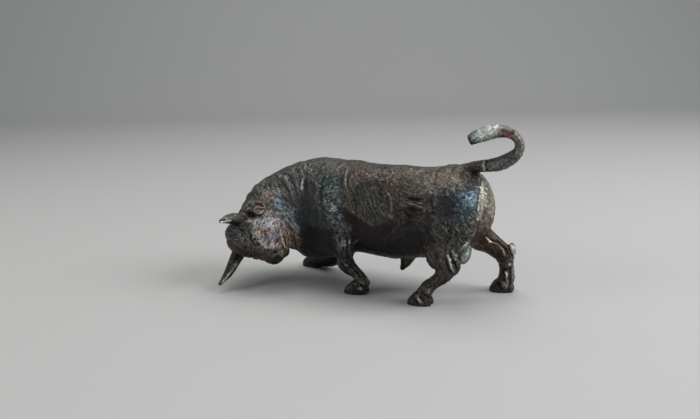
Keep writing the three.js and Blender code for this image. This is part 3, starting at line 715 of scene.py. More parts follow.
# far hind leg
leg = (FAR_HIND, TRUNK)
ridge([(485.6, 237.2), (488.4, 240.4), (492, 242.8), (496.4, 243.8), (500, 246.8), (503, 251), (504.6, 256)], 0.8, 1.1, leg, 0.6)
ridge([(486.8, 235.8), (491, 239.4), (496, 241.4), (500.4, 244.2), (503.6, 248.6)], 0.9, -0.7, leg)
ridge([(508, 244.6), (509.8, 250.4), (512.2, 255.6), (514.4, 259)], 0.9, -0.8, leg)
ridge([(494, 236.4), (501, 241.4), (506.4, 246.4), (508.6, 253)], 1.2, 0.35, leg)
ridge([(504.6, 271.6), (506.4, 274), (507.2, 280), (507.8, 287)], 0.75, 1.3, leg, 0.8)
ridge([(510.2, 268), (510.4, 274), (510.0, 284)], 0.9, -0.8, leg)
ridge([(513, 266), (513.2, 274), (512.8, 286)], 0.9, 0.8, leg, 0.8)
ridge([(502.6, 268.8), (506.6, 269.6), (511, 268.2)], 0.9, -0.8, leg)
ridge([(503.4, 272), (503.8, 277), (504.2, 281)], 1.0, -0.5, leg)
ridge([(503.4, 265.4), (507, 266.4), (509.6, 265)], 0.9, 0.5, leg)
swell(506, 263, 4.4, 3.2, 0, 0.6, leg)
swell(510.6, 263.4, 1.6, 1.6, 0, 0.8, leg)
ridge([(500, 262.6), (505, 261.6), (510, 259.8)], 1.2, 0.5, leg)
foot = (FAR_HIND, HOOF)
ridge([(496, 281.6), (500, 284.6), (503, 290)], 1.0, -0.7, foot)
ridge([(503.4, 281.6), (505.6, 285.6), (507, 290)], 0.9, 0.8, foot)
ridge([(507.4, 282), (508.6, 286), (508.4, 290.4)], 0.9, -0.8, foot)
# near foreleg
leg = (NEAR_FORE, TRUNK)
ridge([(334, 228), (338.6, 238), (342.4, 248)], 1.2, 0.5, leg)
ridge([(338.6, 231), (340.4, 234.6), (342.4, 238)], 0.8, 0.9, leg)
ridge([(352, 247), (354.6, 242.8), (359.4, 239.4)], 0.9, 0.6, (NEAR_FORE, TRUNK))
ridge([(353.6, 248.6), (356.6, 245.6), (360.6, 243.8)], 0.9, -0.6, (NEAR_FORE, TRUNK))
swell(343.4, 242.4, 2.8, 5.4, -14, 0.7, leg)
swell(346.6, 268, 5, 5, 0, 0.6, leg)
swell(354.4, 268.6, 3.4, 2.4, 45, 0.5, leg)
ridge([(339, 226), (343.6, 234)], 1.0, 0.6, leg)
ridge([(336.8, 229), (339.6, 237), (341, 246)], 1.0, -0.5, leg)
ridge([(348.4, 236), (349.8, 242), (350.2, 252)], 0.8, 0.6, leg)
ridge([(346.8, 238), (347.4, 246), (347.4, 256)], 0.9, -0.5, leg)
ridge([(352.6, 246), (353, 252)], 0.7, 0.6, leg)
ridge([(347, 264), (353, 270.6), (359, 278)], 1.0, 0.45, leg)
ridge([(341, 263), (348, 272), (355, 281)], 1.1, -0.6, leg)
ridge([(350, 264), (357, 272), (363, 280)], 1.0, -0.5, leg)
ridge([(344, 252), (344.6, 258), (346, 264)], 1.0, 0.4, leg)
dots([(333, 232), (341, 231), (347, 247), (341, 250), (334, 242)], 90, 1.8, 0.62, leg, 65, 40)
dots([(338, 222), (352, 222), (354, 236), (340, 236)], 80, 2.0, 0.6, leg, 60, 40)
dots([(340, 256), (351, 256), (353, 273), (343, 273)], 90, 1.8, 0.6, leg, 60, 45)
dots([(350, 274), (362, 273), (368, 284), (356, 292)], 60, 1.9, 0.5, leg + (HOOF,), 50, 45)
flecks([(332, 228), (352, 228), (353, 262), (340, 262)], 80, 72, 16, 4.6, 0.8, 0.55, leg)
flecks([(340, 260), (354, 258), (366, 280), (354, 288)], 60, 52, 18, 3.6, 0.85, 0.5, leg + (HOOF,))
foot = (NEAR_FORE, HOOF)
ridge([(352, 285.6), (355.4, 289), (357, 293)], 1.0, -0.7, foot)
ridge([(357, 284.4), (360, 287.6), (361.4, 291.6)], 0.9, 0.8, foot)
ridge([(360.4, 284.4), (362.8, 287), (363.6, 290.6)], 0.9, -0.7, foot)
for shape, forms, slope, many in (
        ([(484, 236), (512, 244), (516, 262), (498, 262)], (FAR_HIND,), 40, 60),
        ([(498, 262), (516, 262), (515, 286), (498, 286)], (FAR_HIND,), 88, 50),
        ([(410, 280), (446, 272), (440, 292), (412, 296)], (NEAR_HIND, HOOF), 140, 70),
        ([(408, 292), (432, 290), (432, 304), (410, 305)], (NEAR_HIND, HOOF), 60, 40),
        ([(470, 238), (490, 236), (498, 250), (480, 248)], (FAR_HIND, TRUNK), 30, 30),
        ([(306, 256), (340, 250), (338, 266), (306, 266)], (FAR_FORE, HOOF), 10, 20)):
    flecks(shape, many, slope, 22, 3.6, 0.8, 0.42, forms)

# face
face = (HEAD,)
ridge([(246.0, 229.6), (250.4, 229.2), (254.6, 231.8), (256.6, 236.4)], 0.9, 0.55, face)
ridge([(246.4, 233.6), (249.6, 237.6), (254.6, 240.4)], 0.9, 0.5, face)
ridge([(256.5, 241.6), (260.5, 246), (266, 250.4)], 1.2, -0.6, face)
ridge([(257.6, 239), (262.5, 244.4), (268.5, 249)], 1.0, 0.8, face)
ridge([(247, 240), (255, 247), (264, 252.4)], 1.1, 0.4, face)
ridge([(226.6, 236.6), (231.4, 240.0), (237.4, 245.2), (245, 250.6)], 1.2, 0.9, face)
ridge([(229.4, 234.6), (234, 238.2), (240, 243.8), (247, 248.6)], 1.1, -0.6, face)
ridge([(276.6, 236), (277, 241.5), (273.6, 246)], 1.1, -0.4, face)
ridge([(272.6, 257), (276, 253.8), (280, 254.4), (282.4, 257.4)], 1.0, 0.7, face)
ridge([(274.4, 259.6), (277.4, 256.4), (280.6, 258.6)], 1.1, -0.7, face)
ridge([(279.6, 263), (282.6, 260), (284.4, 256.6)], 0.8, -0.5, face)
ridge([(283.4, 249.6), (282, 252.4), (282.6, 256)], 1.0, 0.5, face)
swell(267.6, 236, 12.5, 13, 0, 0.7, (HEAD, TRUNK))
swell(273.6, 238.4, 3.6, 3.2, 0, 0.5, face)
flecks([(228, 227), (246, 226), (262, 244), (272, 254), (258, 252), (240, 246), (229, 238)], 250, 45, 48, 2.7, 0.68, 1.5, face, 0.3)
around = lambda p: math.degrees(math.atan2(p[1] - 235, p[0] - 266)) + 90
flecks([(248, 218), (276, 213), (290, 224), (288, 232), (270, 229), (250, 229)], 230, around, 24, 3.2, 0.68, 0.5, (HEAD, TRUNK), 0.3)
flecks([(256, 228), (280, 228), (282, 246), (266, 250), (256, 240)], 170, around, 30, 2.8, 0.66, 0.5, (HEAD, TRUNK), 0.3)
flecks([(244, 206), (250, 202), (250, 222), (240, 224)], 34, 70, 50, 2.6, 0.85, 0.45, (HEAD, TRUNK, EAR_L), 0.3)
flecks([(246, 246), (270, 252), (284, 262), (262, 257)], 44, 30, 40, 2.8, 0.8, 0.34, face, 0.3)
flecks([(258, 190), (284, 190), (280, 206), (268, 216), (262, 202)], 130, 60, 40, 2.8, 0.68, 0.75)
for line, width, height in (
        ([(245.4, 238.4), (250.6, 243.0), (254.6, 247.0)], 0.8, 0.8), ([(250.6, 236.4), (256.2, 242.4), (260.6, 247.6)], 0.8, -0.6),
        ([(247.6, 233.4), (251.8, 237.6), (255.2, 241.6)], 0.7, 0.7), ([(257.4, 233.6), (261.4, 238.6), (266.4, 244.2)], 0.8, 0.6),
        ([(261.4, 236.6), (264.8, 241.2), (270, 246.6)], 0.7, -0.5), ([(239.4, 228.6), (244.2, 229.8), (248.6, 229.4)], 0.8, 0.6),
        ([(236.2, 232.2), (239.6, 236.6), (243.8, 239.4)], 0.8, 0.45), ([(243.2, 245.4), (248, 245.2), (252, 246.4)], 0.8, 0.6),
        ([(243.6, 247.6), (248.6, 248.2), (253, 248.4)], 0.8, -0.5), ([(233.2, 233.2), (235.4, 236.8), (238.8, 239.8)], 0.8, -0.45),
        ([(262.4, 221.6), (266.4, 218.2), (270.2, 216.6)], 0.9, 0.7), ([(252.4, 224.8), (254.4, 226.2), (257.4, 226.4)], 0.8, 0.6),
        ([(254.6, 231.4), (255.2, 236), (258.6, 240)], 0.9, -0.7), ([(262.6, 226), (267, 225), (272, 226.6)], 0.9, 0.4),
        ([(259, 232.4), (265, 231.2), (271, 232.6)], 0.9, -0.35)):
    ridge(line, width, height, face)
ears = (EAR_L, TRUNK)
ridge([(249.4, 203.8), (253.6, 201.6), (259, 202), (263.4, 204.4), (265.8, 208.2)], 0.9, 0.55, ears)
ridge([(253.8, 210.6), (256.6, 213.4), (260.6, 213.2), (263.8, 210.2)], 0.8, 0.75, ears)
ridge([(252.8, 207.6), (254.4, 204.8), (259.4, 204.4), (263.4, 206.8)], 0.8, -0.6, ears)
ridge([(255.4, 207.6), (258.4, 206.4), (261.6, 207.8)], 0.7, 0.4, ears)
ridge([(255.2, 210.0), (258.6, 209.0), (262, 209.8)], 0.7, -0.35, ears)
# horns: growth lines round the root and a ridge towards the point
ridge([(237.6, 261), (230.6, 272), (222.4, 282.6)], 1.1, 0.8, (HORN_R,))
ridge([(240.4, 261), (234.4, 271), (225, 281.6)], 1.2, -0.5, (HORN_R,))
ridge([(233, 260), (227, 272)], 1.0, -0.3, (HORN_R,))
for k in range(4):
    ridge([(231.5 - 1.4 * k, 252 + 2.4 * k), (236.5 - 1.4 * k, 256 + 2.4 * k), (242 - 1.6 * k, 258.6 + 2.4 * k)], 0.8, 0.28, (HORN_R,))
ridge([(219.4, 222), (224.6, 222.2), (231, 220.6)], 0.9, 0.7, (HORN_L,))
ridge([(218.0, 220.4), (221.6, 220.0), (226, 219.8)], 0.9, -1.2, (HORN_L,), 0.8)
ridge([(221, 218.8), (225, 217.6)], 0.8, -0.4, (HORN_L,))
flecks([(219, 217), (242, 212), (242, 222), (222, 223)], 30, -8, 30, 3, 0.8, 0.4, (HORN_L,))
flecks([(230, 250), (242, 256), (226, 280), (220, 282)], 40, 118, 16, 3.4, 0.8, 0.34, (HORN_R,))
# tail
flecks([(468, 134), (500, 123), (526, 132), (526, 158), (500, 173), (478, 170), (505, 156), (514, 144), (498, 138), (472, 145)], 170, 10, 60, 3.0, 0.9, 0.34, (TAIL,))
ridge([(484, 160.6), (483, 166), (484.4, 172)], 1.2, 0.8, (TAIL, TRUNK))
ridge([(487, 160.4), (486, 166), (487, 171.4)], 1.2, -0.4, (TAIL, TRUNK))
flecks([(457, 252), (462, 246), (469, 247), (468, 262), (460, 262)], 24, 80, 30, 3, 0.9, 0.3, (BALLS,))


def seen(n, p):
    """how squarely a surface faces the camera"""
    d = EYE - p
    return (n * d).sum(1) / np.linalg.norm(d, axis=1)


def mirror_across(p, n, tags):
    """the far side's points as if they were on the near side"""
    mid = np.interp(p[:, 0], [-92.5, -84, -73, -60, -45, 60], [-21, -8, -3, -1, 0, 0])
    q, m = p.copy(), n.copy()
    q[:, 1] = 2 * mid - q[:, 1]
    m[:, 1] = -m[:, 1]
    h = tags == HEAD
    right = (p[h] - POLL) @ RIGHT
    q[h] = p[h] - 2 * right[:, None] * RIGHT
    m[h] = n[h] - 2 * (n[h] @ RIGHT)[:, None] * RIGHT
    return q, m


def mirrored_share(u, v):
    """the marks of the turned neck and cheek belong to the near side alone"""
    return np.maximum(ease(u, 302, 316), ease(v, 203, 195) * ease(u, 270, 285))


def stroke_heights(u, v, tags, fine_share=0.5):
    out = np.zeros(len(u))
    order = np.argsort(u)
    ranked = u[order]
    for number, (pts, width, height, forms, taper) in enumerate(marks):
        if number in fine_marks:
            height = height * fine_share
        lo, hi = pts.min(0) - 2 * width, pts.max(0) + 2 * width
        i = order[np.searchsorted(ranked, lo[0]):np.searchsorted(ranked, hi[0])]
        i = i[(v[i] > lo[1]) & (v[i] < hi[1])]
        if not len(i):
            continue
        allowed = np.zeros(14, bool)
        allowed[list(forms)] = True
        i = i[allowed[tags[i]]]
        if not len(i):
            continue
        p = np.stack([u[i], v[i]], 1)
        if len(pts) > 3:
            fine = np.array([curve(pts, t) for t in np.linspace(0, 1, 4 * (len(pts) - 1) + 1)])
        else:
            fine = pts
        best, where = np.full(len(i), 1e9), np.zeros(len(i))
        for k in range(len(fine) - 1):
            a, b = fine[k], fine[k + 1]
            t = np.clip(((p - a) @ (b - a)) / max((b - a) @ (b - a), 1e-9), 0, 1)
            d = ((p - a - t[:, None] * (b - a)) ** 2).sum(1)
            closer = d < best
            best = np.where(closer, d, best)
            where = np.where(closer, (k + t) / (len(fine) - 1), where)
        fall = np.exp(-best / (0.72 * width) ** 2)
        out[i] += height * fall * (1 - (1 - taper) * np.abs(2 * where - 1) ** 2)
    return out


def swell_heights(u, v, tags):
    out = np.zeros(len(u))
    for cu, cv, ru, rv, turn, height, forms in swells:
        du, dv = u - cu, v - cv
        a, b = du * math.cos(turn) + dv * math.sin(turn), -du * math.sin(turn) + dv * math.cos(turn)
        out += np.where(np.isin(tags, forms), height * np.exp(-((a / ru) ** 2 + (b / rv) ** 2) * 1.1), 0)
    return out


def relief(p, n, tags):
    """height of the modelling over the plain form, in mm"""
    fit = ease(seen(n, p), 0.08, 0.34)
    u, v = pixel(p)
    h = fit * (stroke_heights(u, v, tags) + swell_heights(u, v, tags))
    q, m = mirror_across(p, n, tags)
    back = (1 - fit) * ease(seen(m, q), 0.12, 0.45) * np.isin(tags, (TRUNK, HEAD))
    i = back > 0.01
    u, v = pixel(q[i])
    h[i] += 0.8 * back[i] * mirrored_share(u, v) * (stroke_heights(u, v, tags[i]) + swell_heights(u, v, tags[i]))
    return h


def relief_marks(p, n, tags):
    """the tool marks alone, for the wear and for the painted glints and shade on them"""
    fit = ease(seen(n, p), 0.08, 0.34)
    u, v = pixel(p)
    h = fit * stroke_heights(u, v, tags, 0.75)
    q, m = mirror_across(p, n, tags)
    back = (1 - fit) * ease(seen(m, q), 0.12, 0.45) * np.isin(tags, (TRUNK, HEAD))
    i = back > 0.01
    u, v = pixel(q[i])
    h[i] += 0.8 * back[i] * mirrored_share(u, v) * stroke_heights(u, v, tags[i], 0.75)
    return h


def cast_skin(p, tags):
    """the rough skin of the casting, in mm"""
    quiet = np.where(np.isin(tags, (HORN_L, HORN_R, HOOF)), 0.45, 1.0)
    h = 0.34 * layers(p, 9.0, 3, 2) + 0.20 * layers(p, 3.2, 11, 3, 0.6)
    pit = ease(nearest_dot(p, 3.4, 5), 0.32, 0.08)
    some = ease(noise(p, 11.0, 23), -0.1, 0.4)
    h -= 0.42 * pit * some
    lump = ease(nearest_dot(p + 7.7, 2.3, 9), 0.55, 0.1)
    h += 0.20 * lump * ease(noise(p, 14.0, 31), -0.3, 0.3)
    curly = np.where(tags == HEAD, 1.0, 0.0) * ease((p - POLL) @ AXIS, 22, 12) * ease((p - POLL) @ FACE, 2.0, 6.0)
    h += curly * 0.75 * (0.55 - nearest_dot(p, 3.0, 41))
    return h * quiet


tags = tags_of(points)
n0 = normals(points, quads)
for _ in range(4):
    n0 = n0 + spread(len(points), edges, n0)
    n0 /= np.linalg.norm(n0, axis=1)[:, None]
h = relief(points, n0, tags) + cast_skin(points, tags)
sole = ease(points[:, 2], 0.0, 1.2)
points = points + n0 * (h * sole)[:, None]
points[:, 2] = np.maximum(points[:, 2], 0.0)

# ------------------------------------------------------------------ mesh
mesh = bpy.data.meshes.new("bull")
bull = bpy.data.objects.new("bull", mesh)
bpy.context.scene.collection.objects.link(bull)


def write(mesh, points, faces):
    k = faces.shape[1]
    mesh.clear_geometry()
    mesh.vertices.add(len(points))
    mesh.vertices.foreach_set("co", ((points + SHIFT) / 1000).astype(np.float32).ravel())
    mesh.loops.add(faces.size)
    mesh.loops.foreach_set("vertex_index", faces.astype(np.int32).ravel())
    mesh.polygons.add(len(faces))
    mesh.polygons.foreach_set("loop_start", np.arange(0, faces.size, k, dtype=np.int32))
    mesh.update(calc_edges=True)
    mesh.validate()


def triangles(faces, points):
    """each quad split along its shorter diagonal"""
    a = np.linalg.norm(points[faces[:, 0]] - points[faces[:, 2]], axis=1)
    b = np.linalg.norm(points[faces[:, 1]] - points[faces[:, 3]], axis=1)
    one = np.where((a < b)[:, None], faces[:, [0, 1, 2]], faces[:, [0, 1, 3]])
    two = np.where((a < b)[:, None], faces[:, [0, 2, 3]], faces[:, [1, 2, 3]])
    return np.concatenate([one, two])


write(mesh, points, triangles(quads, points))
if len(mesh.polygons) > FACES:
    thin = bull.modifiers.new("thin", "DECIMATE")
    thin.ratio = FACES / len(mesh.polygons)
    thin.use_collapse_triangulate = True
    dg = bpy.context.evaluated_depsgraph_get()
    new = bpy.data.meshes.new_from_object(bull.evaluated_get(dg))
    bull.modifiers.clear()
    bull.data = new
    bpy.data.meshes.remove(mesh)
    mesh = new
    mesh.name = "bull"
for poly_attr in (mesh.polygons,):
    poly_attr.foreach_set("use_smooth", np.ones(len(mesh.polygons), bool))

# ------------------------------------------------------------------ colours of the patina, with painted highlights and shade
co = np.zeros(len(mesh.vertices) * 3, np.float32)
mesh.vertices.foreach_get("co", co)
P = co.reshape(-1, 3).astype(float) * 1000 - SHIFT
tri = np.zeros(len(mesh.polygons) * 3, np.int32)
mesh.polygons.foreach_get("vertices", tri)
tri = tri.reshape(-1, 3)
tags = tags_of(P)
edges = edges_of(tri)
N = normals(P, tri)
NS = N.copy()
for _ in range(6):
    NS = NS + spread(len(P), edges, NS)
    NS /= np.linalg.norm(NS, axis=1)[:, None]
# height above the surface around it: worn ridges and dirty hollows, and with them painted highlights on ridges and
# painted shade in hollows
smooth = P.copy()
for _ in range(10):
    smooth = smooth + 0.6 * (spread(len(P), edges, smooth) - smooth)
proud = ((P - smooth) * NS).sum(1)
proud = np.clip(proud / 0.22, -1, 1)


def srgb(r, g, b):
    c = np.array([r, g, b]) / 255
    return np.where(c <= 0.04045, c / 12.92, ((c + 0.055) / 1.055) ** 2.4)


paints = []         # regions of the patina, laid one over the other


def patch(u, v, ru, rv, turn, colour, strength, forms=LIMBS):
    paints.append(("round", (u, v, ru, rv, math.radians(turn)), srgb(*colour), strength, 0, forms))


def area(outline, colour, strength, soft=3.0, forms=LIMBS):
    paints.append(("area", np.asarray(outline, float), srgb(*colour), strength, soft, forms))


BRONZE = srgb(60, 56, 52)
HEADS = (HEAD, TRUNK)
# body, from the crest back
area([(240, 208), (248, 190), (270, 172), (312, 158), (330, 168), (306, 192), (284, 200), (258, 203)], (72, 73, 70), 0.9, 5)
area([(250, 186), (287, 166), (330, 155), (350, 158), (348, 170), (318, 170), (280, 182)], (90, 90, 85), 0.8, 4)
area([(340, 158), (400, 163), (480, 158), (480, 178), (444, 190), (412, 192), (388, 176), (350, 172)], (90, 85, 78), 0.95, 5)
patch(383, 168, 6, 3, 0, (66, 64, 60), 0.6)
area([(404, 165), (476, 162), (470, 182), (430, 186), (408, 178)], (110, 99, 87), 0.8, 5)
area([(448, 164), (482, 161), (480, 174), (462, 178)], (84, 74, 68), 0.7, 4)
area([(412, 180), (462, 184), (440, 196), (420, 198), (404, 192)], (88, 84, 78), 0.7, 4)
area([(348, 166), (370, 170), (362, 190), (352, 216), (343, 206), (344, 186)], (68, 59, 51), 0.85, 7)
patch(366, 170, 12, 7, 0, (86, 75, 66), 0.6)
patch(348.4, 203, 3, 10, 0, (56, 49, 42), 0.6)
area([(353, 186), (364, 182), (384, 186), (388, 214), (374, 222), (360, 216)], (50, 50, 47), 0.9, 6)
patch(393, 194, 7, 20, 8, (76, 65, 58), 0.8)
patch(402, 178, 10, 8, 0, (80, 68, 60), 0.6)
patch(390.6, 217, 2.2, 2.2, 0, (112, 109, 103), 0.9)
area([(392, 190), (430, 194), (434, 216), (424, 224), (396, 214)], (58, 54, 50), 0.8, 4)
patch(403, 203, 5, 5, 0, (76, 74, 66), 0.6)
patch(402, 182, 12, 7, 0, (66, 58, 54), 0.6)
patch(411, 214, 10, 8, 0, (44, 38, 36), 0.7)
# painted shade in the hollows on either side of the flank fold, and a painted highlight along the fold
patch(416, 199.4, 6, 2.4, 8, (30, 27, 26), 0.75)
patch(411.6, 210.6, 5, 2.8, 20, (30, 26, 25), 0.7)
patch(415.6, 205.6, 7, 1.6, 10, (84, 79, 72), 0.7)
# shoulder
area([(314, 172), (344, 172), (345, 190), (343, 224), (330, 228), (316, 206)], (60, 66, 63), 0.85, 4)
patch(330, 205.6, 9, 3.6, 36, (104, 106, 104), 0.75)
patch(334.6, 209.6, 3, 1.8, 36, (120, 106, 100), 0.6)
patch(337.6, 214, 4.6, 2.0, 36, (64, 82, 92), 0.6)
patch(339, 219, 2.4, 4, -10, (60, 76, 84), 0.5)
patch(336, 223, 4, 4, 0, (56, 66, 68), 0.6)
patch(328, 192, 9, 9, 0, (66, 78, 74), 0.6)
area([(296, 196), (312, 200), (322, 222), (324, 250), (306, 250), (300, 236), (298, 214)], (36, 39, 41), 0.95, 4)
# painted shade under the chest
area([(308, 226), (336, 228), (338, 256), (312, 256), (304, 246)], (23, 22, 23), 0.95, 4)
patch(309, 190, 6, 12, 5, (40, 44, 44), 0.6)
patch(302.8, 184, 1.3, 6.4, 6, (126, 128, 124), 0.8)
patch(318, 212, 8, 8, 0, (44, 49, 48), 0.7)
# neck behind the jaw
area([(284, 184), (300, 186), (300, 212), (294, 226), (284, 214), (278, 198)], (64, 65, 64), 0.8, 4)
area([(276, 206), (288, 208), (300, 232), (292, 236), (280, 220)], (94, 97, 100), 0.85, 3)
area([(262, 190), (282, 190), (276, 204), (266, 214), (262, 204)], (96, 88, 84), 0.85, 3)
patch(278.4, 203.4, 5.0, 5.6, 20, (98, 116, 129), 0.75)
patch(282, 208, 3.4, 4, -35, (92, 102, 108), 0.6)
patch(272, 198, 4, 2.5, -30, (122, 104, 98), 0.7)
patch(291, 215, 4, 10, -32, (74, 82, 88), 0.5)
# belly and the shade under the barrel
area([(343, 208), (352, 214), (362, 220.6), (372, 226.6), (384, 223.6), (398, 225), (410, 219), (424, 224), (437, 238), (430, 256), (396, 264), (354, 256), (346, 236)], (28, 24, 23), 1.0, 2.2)
patch(420, 228, 8, 4, 30, (40, 42, 44), 0.6)
ridge([(345, 212.4), (354, 217.2), (364, 223), (373, 228)], 1.0, -0.5)
ridge([(346.6, 210), (355, 214.8), (365, 220.6), (374, 225.6)], 1.0, 0.35)
patch(400, 232, 14, 4, -40, (40, 36, 34), 0.7)
patch(414, 228, 9, 4, 0, (38, 38, 41), 0.6)
# hip and thigh
area([(438, 194), (456, 191), (479, 184), (477, 222), (452, 226), (438, 218), (434, 206)], (52, 55, 57), 0.95, 6)
# bluish patches on the hip, painted as a reflection
area([(457, 197), (470, 190), (480, 190), (478, 212), (466, 219), (458, 210)], (64, 76, 82), 0.85, 5)
patch(466, 210, 12, 10, 0, (50, 64, 69), 0.8)
patch(471, 200, 7.5, 7, 0, (96, 115, 122), 0.65)
patch(465, 195.0, 10, 3.2, -4, (76, 92, 100), 0.6)
patch(474.4, 197.4, 4.4, 4.2, -10, (116, 138, 153), 0.65)
patch(478.4, 188.4, 3.6, 4.6, 30, (116, 124, 120), 0.7)
area([(479.6, 173), (482.6, 173), (484.4, 186), (480.8, 191), (476.8, 190.4), (478, 184)], (130, 128, 118), 0.75, 1.2)
patch(472, 218, 6, 6, -30, (68, 70, 66), 0.6)
patch(474, 226, 3, 9, 14, (72, 68, 60), 0.5)
patch(449, 206, 11, 11, 0, (46, 47, 50), 0.8)
patch(468, 180, 9, 8, 0, (70, 68, 66), 0.8)
area([(436, 224), (474, 218), (470, 238), (456, 250), (440, 248), (430, 236)], (51, 51, 49), 0.9, 5)
patch(438, 238, 6, 4, 30, (60, 59, 53), 0.9)
patch(432, 224, 4, 10, -10, (50, 50, 46), 0.7)
# buttock
# the pale buttock is painted light, as lit from behind and to the right
area([(480.6, 172), (486, 172), (498, 190), (500, 214), (490, 216), (484, 222), (477, 221), (476.6, 212), (477.6, 205), (479.6, 198), (477.4, 192.4), (477.6, 189), (480.4, 184)], (142, 134, 121), 1.0, 1.6)
area([(487.4, 186), (492, 192), (491, 214), (483, 230), (478, 236), (476, 231), (482, 218), (487, 204)], (104, 86, 72), 0.75, 2.5)
area([(480.6, 178), (486, 184), (489, 200), (485, 212), (479, 212), (479.5, 196)], (160, 160, 149), 0.65, 2.5)
area([(486, 206), (497, 204), (496, 236), (470, 240), (478, 224)], (88, 76, 66), 0.9, 3)
area([(476, 226), (486, 222), (492, 232), (480, 242), (468, 246), (473, 236)], (58, 47, 40), 0.8, 3)
patch(492, 209, 3, 8, 0, (138, 128, 116), 0.7)
# head
area([(222, 222), (250, 222), (262, 240), (276, 250), (284, 266), (240, 262), (222, 246)], (54, 53, 52), 0.95, 3, HEADS)
area([(226, 238), (236, 243), (248, 250), (264, 254), (284, 262), (284, 268), (226, 262)], (44, 35, 33), 0.95, 2, HEADS)
area([(230, 222), (248, 219), (249, 227), (230, 229)], (48, 50, 47), 0.85, 2, HEADS)
area([(240, 202), (250, 200), (250, 222), (238, 222)], (84, 82, 78), 0.85, 2.5, HEADS)
area([(248, 218), (262, 214), (276, 212), (286, 222), (288, 232), (270, 232), (254, 230)], (125, 121, 119), 1.0, 3, HEADS)
area([(254, 228), (284, 228), (286, 244), (274, 250), (262, 248), (254, 238)], (108, 103, 101), 0.9, 3, HEADS)
patch(263, 231, 9, 3, 8, (128, 110, 98), 0.7, HEADS)
patch(262, 242, 7, 4, 40, (122, 120, 114), 0.6, HEADS)
patch(273, 238, 5, 4.5, 0, (120, 119, 130), 0.9, HEADS)
patch(274, 222, 7, 5, 0, (146, 141, 145), 0.8, HEADS)
patch(269, 214, 6, 5, 0, (128, 120, 112), 0.7, HEADS)
area([(280, 228), (290, 227), (298, 236), (300, 248), (288, 248), (280, 246)], (110, 92, 80), 1.0, 5, HEADS)
patch(300, 244, 6, 7, -20, (50, 44, 38), 0.8, HEADS)
patch(292.6, 240, 3, 6, -20, (96, 76, 60), 0.5, HEADS)
patch(282.4, 237, 2.6, 8, -8, (168, 146, 136), 0.75, HEADS)
patch(287.2, 242, 2.2, 5.4, -14, (156, 134, 120), 0.7, HEADS)
patch(279, 247, 4, 4, 0, (92, 78, 66), 0.85, HEADS)
patch(282.6, 252.4, 3.6, 3.4, 0, (108, 110, 96), 0.95, HEADS)
# painted shade under the nose tip
patch(277, 261, 7, 4.5, 0, (38, 30, 27), 0.9, HEADS)
patch(283, 260, 2.4, 2.4, 0, (30, 40, 32), 0.8, HEADS)
# ear
EARS = (EAR_L, TRUNK, HEAD)
patch(252, 203, 7, 4, 0, (98, 95, 89), 0.85, EARS)
patch(258.6, 207.0, 6, 3.6, 0, (124, 104, 88), 0.95, EARS)
patch(259, 211.6, 5.0, 2.4, 0, (152, 136, 128), 0.9, EARS)
patch(250, 207, 3.4, 4, 0, (88, 86, 80), 0.85, EARS)
# painted shadow beneath the ear
patch(251, 214.6, 4, 3.6, 0, (32, 27, 25), 0.95, EARS)
patch(257, 216, 6, 1.6, 0, (54, 46, 42), 0.7, EARS)
# horns
patch(229, 216, 9, 4, 0, (90, 91, 86), 0.9, (HORN_L,))
patch(224.6, 221, 7, 2.6, -4, (138, 136, 134), 0.85, (HORN_L,))
patch(223.6, 218.0, 4, 1.3, -10, (120, 118, 115), 0.8, (HORN_L,))
patch(237, 216, 8, 6, 0, (82, 82, 77), 0.9, (HORN_L,))
# painted shadow under the left horn
patch(233, 226, 14, 3, 0, (44, 44, 41), 0.8, (HORN_L,))
area([(220, 223), (226, 222.6), (232, 221.4), (233, 224.8), (224, 225)], (40, 36, 34), 0.9, 0.6, (HORN_L,))
patch(228, 268, 9, 18, 25, (53, 48, 44), 0.9, (HORN_R,))
patch(236, 254, 8, 6, 0, (48, 37, 30), 0.9, (HORN_R,))
# painted highlights: the lit streak down the right horn
patch(233.6, 264.4, 3.6, 4, 30, (86, 92, 86), 0.9, (HORN_R,))
patch(232, 269.6, 3.4, 3.4, 30, (84, 88, 74), 0.6, (HORN_R,))
area([(235.6, 263), (237.4, 263.6), (230.6, 274.4), (223, 283.4), (221.6, 282.6), (229, 273)], (120, 121, 115), 0.8, 0.7, (HORN_R,))
# legs
patch(440, 256, 18, 14, 0, (53, 49, 44), 0.85)
patch(446, 262, 9, 10, 0, (66, 63, 58), 0.8, (NEAR_HIND,))
# painted highlights on the tendons of the near hind leg
area([(446.8, 255), (448.8, 255), (454.4, 271.6), (452.6, 273)], (126, 122, 116), 0.75, 0.9, (NEAR_HIND,))
area([(451.6, 251), (454, 251), (459, 262.6), (457.4, 264)], (118, 114, 108), 0.7, 1.0, (NEAR_HIND,))
patch(448, 275, 7, 4.5, -20, (50, 52, 44), 0.9, (NEAR_HIND,))
patch(433, 272, 4, 9, 0, (40, 28, 24), 0.7, (NEAR_HIND,))
patch(432, 284, 14, 8, -30, (43, 38, 33), 0.9, (NEAR_HIND, HOOF))
patch(416, 298, 12, 9, 0, (46, 40, 36), 0.9, (NEAR_HIND, HOOF))
patch(410.6, 300, 5, 6, 0, (36, 31, 27), 0.85, (NEAR_HIND, HOOF))
patch(430, 299.6, 4, 5, 0, (40, 34, 30), 0.8, (NEAR_HIND, HOOF))
